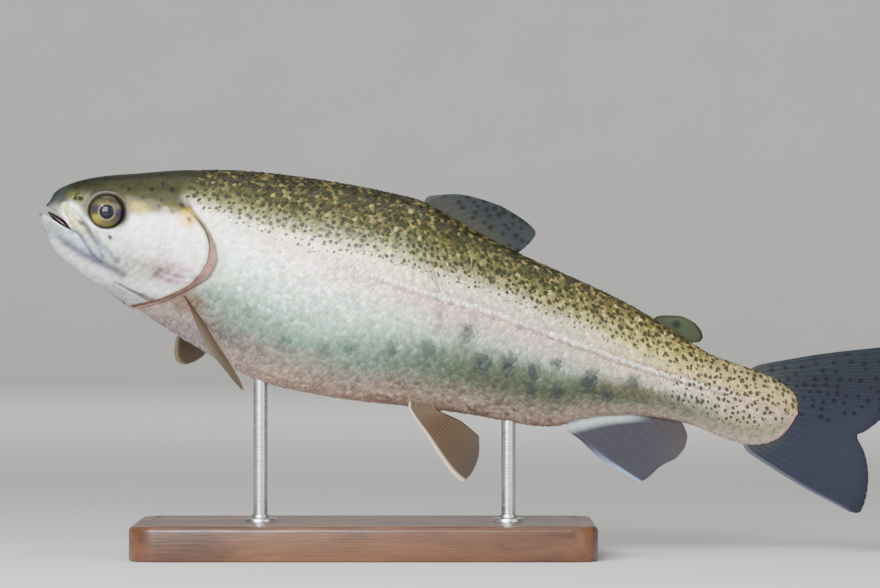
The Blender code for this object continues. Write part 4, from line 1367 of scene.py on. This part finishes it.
def eye_mesh(name, side):
    """An eyeball with a domed pupil in a shallow iris; x and y are along u and v."""
    polar = np.linspace(0, math.pi, EYE_RINGS + 1)[1:-1, None]
    round_ = 2 * math.pi * np.arange(EYE_ROUND)[None, :] / EYE_ROUND
    x, y = EYE_RADII[0] * np.sin(polar) * np.cos(round_), EYE_RADII[1] * np.sin(polar) * np.sin(round_)
    z = EYE_RADII[2] * np.cos(polar) + 0 * x
    x = np.concatenate(([0.0], x.ravel(), [0.0]))
    y = np.concatenate(([0.0], y.ravel(), [0.0]))
    z = np.concatenate(([EYE_RADII[2]], z.ravel(), [-EYE_RADII[2]]))
    rho = np.hypot(x - 0.2, y)
    front = z > 0
    z = z + front * (0.2 * (1 - ramp(rho, 1.4, 2.6)) - 0.12 * hill(rho - 3.8, 1.1))
    rows = EYE_RINGS - 1
    quads = tube_faces(rows, EYE_ROUND) + 1
    k = np.arange(EYE_ROUND)
    after = (k + 1) % EYE_ROUND
    last = 1 + (rows - 1) * EYE_ROUND
    front_cap = np.stack((0 * k, 1 + k, 1 + after), -1)
    back_cap = np.stack((0 * k + len(x) - 1, last + after, last + k), -1)
    mesh = make_mesh(name, world(EYE[0] + x, EYE[1] + y, side * (EYE[2] + z)), quads, front_cap, back_cap)
    bm = bmesh.new()
    bm.from_mesh(mesh)
    bmesh.ops.recalc_face_normals(bm, faces=bm.faces)
    bm.to_mesh(mesh)
    bm.free()

    c = np.tile(shown(112, 106, 64), (len(x), 1))
    radial = np.sin(np.arctan2(y, x) * 23 + 2.0 * np.sin(np.arctan2(y, x) * 7)) * 0.5 + 0.5
    c = over(c, (92, 84, 56), radial * 0.4)
    c = patched(c, x, y, GOLD_OF_IRIS)
    # Painted shadow of the brow across the top of the eye
    c = over(c, (78, 72, 54), ramp(y, 2.2, 4.2) * 0.9)
    c = patched(c, x, y, SHADES_OF_IRIS)
    c = over(c, (176, 166, 150), hill(rho - 2.85, 0.2) * (0.3 + 0.5 * ramp(-y, -1.5, 1.5)))
    c = over(c, (172, 104, 40), blob(x, y, (-0.4, 3.2), (0.45, 0.6), 0.9) * 0.7)
    c = over(c, (12, 14, 34), 1 - ramp(rho, 2.4, 2.62))
    # Painted shade round the eye's edge, where it sits in the socket
    c = over(c, (52, 46, 38), ramp(np.hypot(x, y), 5.0, 5.9) * 0.85)
    set_colours(mesh, "tint", c)
    set_values(mesh, "silver", 0.35 * ramp(rho, 2.4, 3.0))
    return mesh


def make_eyes():
    shared = eye_material()
    for side, name in ((1, "eye_left"), (-1, "eye_right")):
        add_piece("eyeball_" + name[4:], eye_mesh("eyeball_" + name[4:], side), shared, (name,))


# ---------------------------------------------------------------- stand

BASE = (0.160, 0.090, 0.012)
BASE_CORNER, BASE_EDGE = 0.010, 0.0018
RODS = {"stand_rod_front": 88.0, "stand_rod_rear": 175.0}
ROD_RADIUS = 0.0025


def rounded_block(name, size, corner, profile):
    """A slab with rounded corners, turned through a profile of (inset, height)."""
    outline = []
    for quarter in range(4):
        for k in range(13):
            a = math.pi / 2 * (quarter + k / 12)
            sx, sy = (1, -1, -1, 1)[quarter], (1, 1, -1, -1)[quarter]
            x, y = sx * (size[0] / 2 - corner), sy * (size[1] / 2 - corner)
            outline.append((x, y, math.cos(a), math.sin(a)))
    rings = [
        [(x + (corner - inset) * c, y + (corner - inset) * s, z) for x, y, c, s in outline]
        for inset, z in profile
    ]
    columns = len(outline)
    points = np.array(rings).reshape(-1, 3)
    caps = np.array([np.arange(columns)[::-1], np.arange(columns) + (len(rings) - 1) * columns])
    return make_mesh(name, points, tube_faces(len(rings), columns)[:, ::-1], caps)


def turned(name, x, profile, segments=48):
    """A round piece about a vertical axis at (x, 0), from a profile of (radius, height)."""
    angle = 2 * math.pi * np.arange(segments) / segments
    rings = [np.stack((x + r * np.cos(angle), r * np.sin(angle), 0 * angle + z), -1) for r, z in profile]
    caps = np.array([np.arange(segments)[::-1], np.arange(segments) + (len(rings) - 1) * segments])
    return make_mesh(name, np.vstack(rings), tube_faces(len(rings), segments)[:, ::-1], caps)


def wood_material():
    n = Nodes("walnut", Coat_Weight=0.25, Coat_Roughness=0.2, Specular_IOR_Level=0.4)
    at = n.add("TexCoord").outputs["Object"]
    grain = n.add("Mapping", {"Vector": at, "Scale": (9.0, 95.0, 60.0)}).outputs[0]
    bend = n.noise(at, 16.0, 2.0, "Color")
    grain = n.add("VectorMath", {0: grain, 1: bend}, operation="ADD").outputs[0]
    rings = n.noise(grain, 1.1, 5.0)
    pores = n.noise(n.add("Mapping", {"Vector": at, "Scale": (60.0, 1400.0, 1400.0)}).outputs[0], 1.0, 2.0)
    wood = n.mix(n.scale(rings, 0.32, 0.68, 0.0, 1.0), rgb(56, 33, 21), rgb(104, 66, 42))
    wood = n.mix(n.scale(pores, 0.55, 0.7, 0.0, 0.55), wood, rgb(46, 28, 18))
    n.out("Base Color", wood)
    n.out("Roughness", n.scale(pores, 0.4, 0.7, 0.34, 0.5))
    n.bump(pores, 0.25, 0.0003)
    return n.material


def steel_material():
    n = Nodes("brushed_steel", Metallic=1.0)
    at = n.add("TexCoord").outputs["Object"]
    lines = n.noise(n.add("Mapping", {"Vector": at, "Scale": (220.0, 220.0, 6000.0)}).outputs[0], 1.0, 2.0)
    n.out("Base Color", n.mix(lines, rgb(176, 177, 179), rgb(214, 214, 214)))
    n.out("Roughness", n.scale(lines, 0.3, 0.7, 0.22, 0.38))
    n.bump(lines, 0.12, 0.0001)
    return n.material


def make_stand():
    wood, steel = wood_material(), steel_material()
    high, edge = BASE[2], BASE_EDGE
    profile = [(0.0012, 0.0), (0.0002, 0.0003), (0.0, 0.0012)]
    for k in range(9):
        a = math.pi / 2 * k / 8
        profile.append((edge * (1 - math.cos(a)), high - edge * (1 - math.sin(a))))
    # A shallow groove round the top
    for inset, drop in ((0.0052, 0.0), (0.0056, 0.00035), (0.0062, 0.0005), (0.0068, 0.00035), (0.0072, 0.0)):
        profile.append((inset, high - drop))
    base = rounded_block("stand_base_block", BASE, BASE_CORNER, profile)
    add_piece("stand_block", base, wood, ("stand_base",), angle=30.0)
    for name, u in RODS.items():
        foot = world(np.array(u), smooth(BOTTOM, np.array(u)), np.array(0.0))
        x, top = float(foot[0]), float(foot[2]) + 0.002
        r = ROD_RADIUS
        collar = [
            (0.0001, high - 0.002), (2.2 * r, high - 0.002), (2.2 * r, high + 0.0006),
            (2.1 * r, high + 0.001), (1.35 * r, high + 0.0014), (1.25 * r, high + 0.0022),
            (r, high + 0.0024), (r, top), (0.0001, top),
        ]  # fmt: skip
        rod = turned(name + "_turned", x, collar)
        add_piece(name + "_turned", rod, steel, (name,), angle=35.0)


make_skin()
make_tongue()
make_scales()
make_fins()
make_eyes()
make_stand()


# ---------------------------------------------------------------- studio


FLOOR_REACH, WALL_TURN, WALL_HIGH = 3.3, 0.9, 3.2
LIGHTS = (
    # name, place, aim, size, power
    ("key", (-0.35, -0.95, 0.48), (-0.02, 0.0, 0.11), (0.7, 0.7), 34.0),
    ("fill", (0.85, -0.9, 0.35), (0.05, 0.0, 0.08), (0.8, 0.8), 6.0),
    ("top", (0.05, -0.1, 1.1), (0.03, 0.0, 0.1), (0.9, 0.6), 4.0),
    ("back", (0.0, 1.4, 1.7), (0.0, 3.9, 0.3), (1.6, 0.8), 44.0),
)


def make_stage():
    """A round floor whose rim turns up into a wall."""
    n = Nodes("studio_paper", Roughness=0.9, Specular_IOR_Level=0.2)
    at = n.add("TexCoord").outputs["Object"]
    n.out("Base Color", n.mix(n.noise(at, 9.0), rgb(196, 195, 192), rgb(202, 201, 199)))
    profile = [(0.3 * k, 0.0) for k in range(1, 12)]
    for k in range(1, 17):
        a = math.pi / 2 * k / 16
        profile.append((FLOOR_REACH + WALL_TURN * math.sin(a), WALL_TURN * (1 - math.cos(a))))
    profile.append((FLOOR_REACH + WALL_TURN, WALL_HIGH))
    angle = 2 * math.pi * np.arange(96) / 96
    rings = [np.stack((r * np.cos(angle), r * np.sin(angle), 0 * angle + z), -1) for r, z in profile]
    points = np.vstack(rings)
    floor = make_mesh("stage_sweep", points, tube_faces(len(profile), 96), np.arange(96)[None])
    floor = bpy.data.objects.new("stage_sweep", floor)
    bpy.context.scene.collection.objects.link(floor)
    floor.data.materials.append(n.material)
    floor.data.shade_smooth()


def area_light(name, place, aim, size, power):
    data = bpy.data.lights.new(name, "AREA")
    data.shape, data.size, data.size_y = "RECTANGLE", *size
    data.energy = power
    light = bpy.data.objects.new(name, data)
    bpy.context.scene.collection.objects.link(light)
    light.location = place
    light.rotation_euler = (Vector(aim) - Vector(place)).to_track_quat("-Z", "Y").to_euler()


def make_lights():
    for light in LIGHTS:
        area_light(*light)
    studio = bpy.data.worlds.new("studio")
    bpy.context.scene.world = studio
    studio.use_nodes = True
    background = studio.node_tree.nodes["Background"]
    background.inputs[0].default_value = (0.78, 0.79, 0.8, 1.0)
    background.inputs[1].default_value = 0.5


CAMERA_AT = (0.0261, -1.7, 0.0910)
FRAME_WIDTH = 0.3062  # at the fish's mid-plane


def make_camera():
    data = bpy.data.cameras.new("camera")
    data.sensor_width = 36.0
    data.lens = 36.0 * -CAMERA_AT[1] / FRAME_WIDTH
    data.clip_start, data.clip_end = 0.05, 20.0
    camera = bpy.data.objects.new("camera", data)
    bpy.context.scene.collection.objects.link(camera)
    camera.location = CAMERA_AT
    camera.rotation_euler = (math.pi / 2, 0.0, 0.0)
    bpy.context.scene.camera = camera


make_stage()
make_lights()
make_camera()
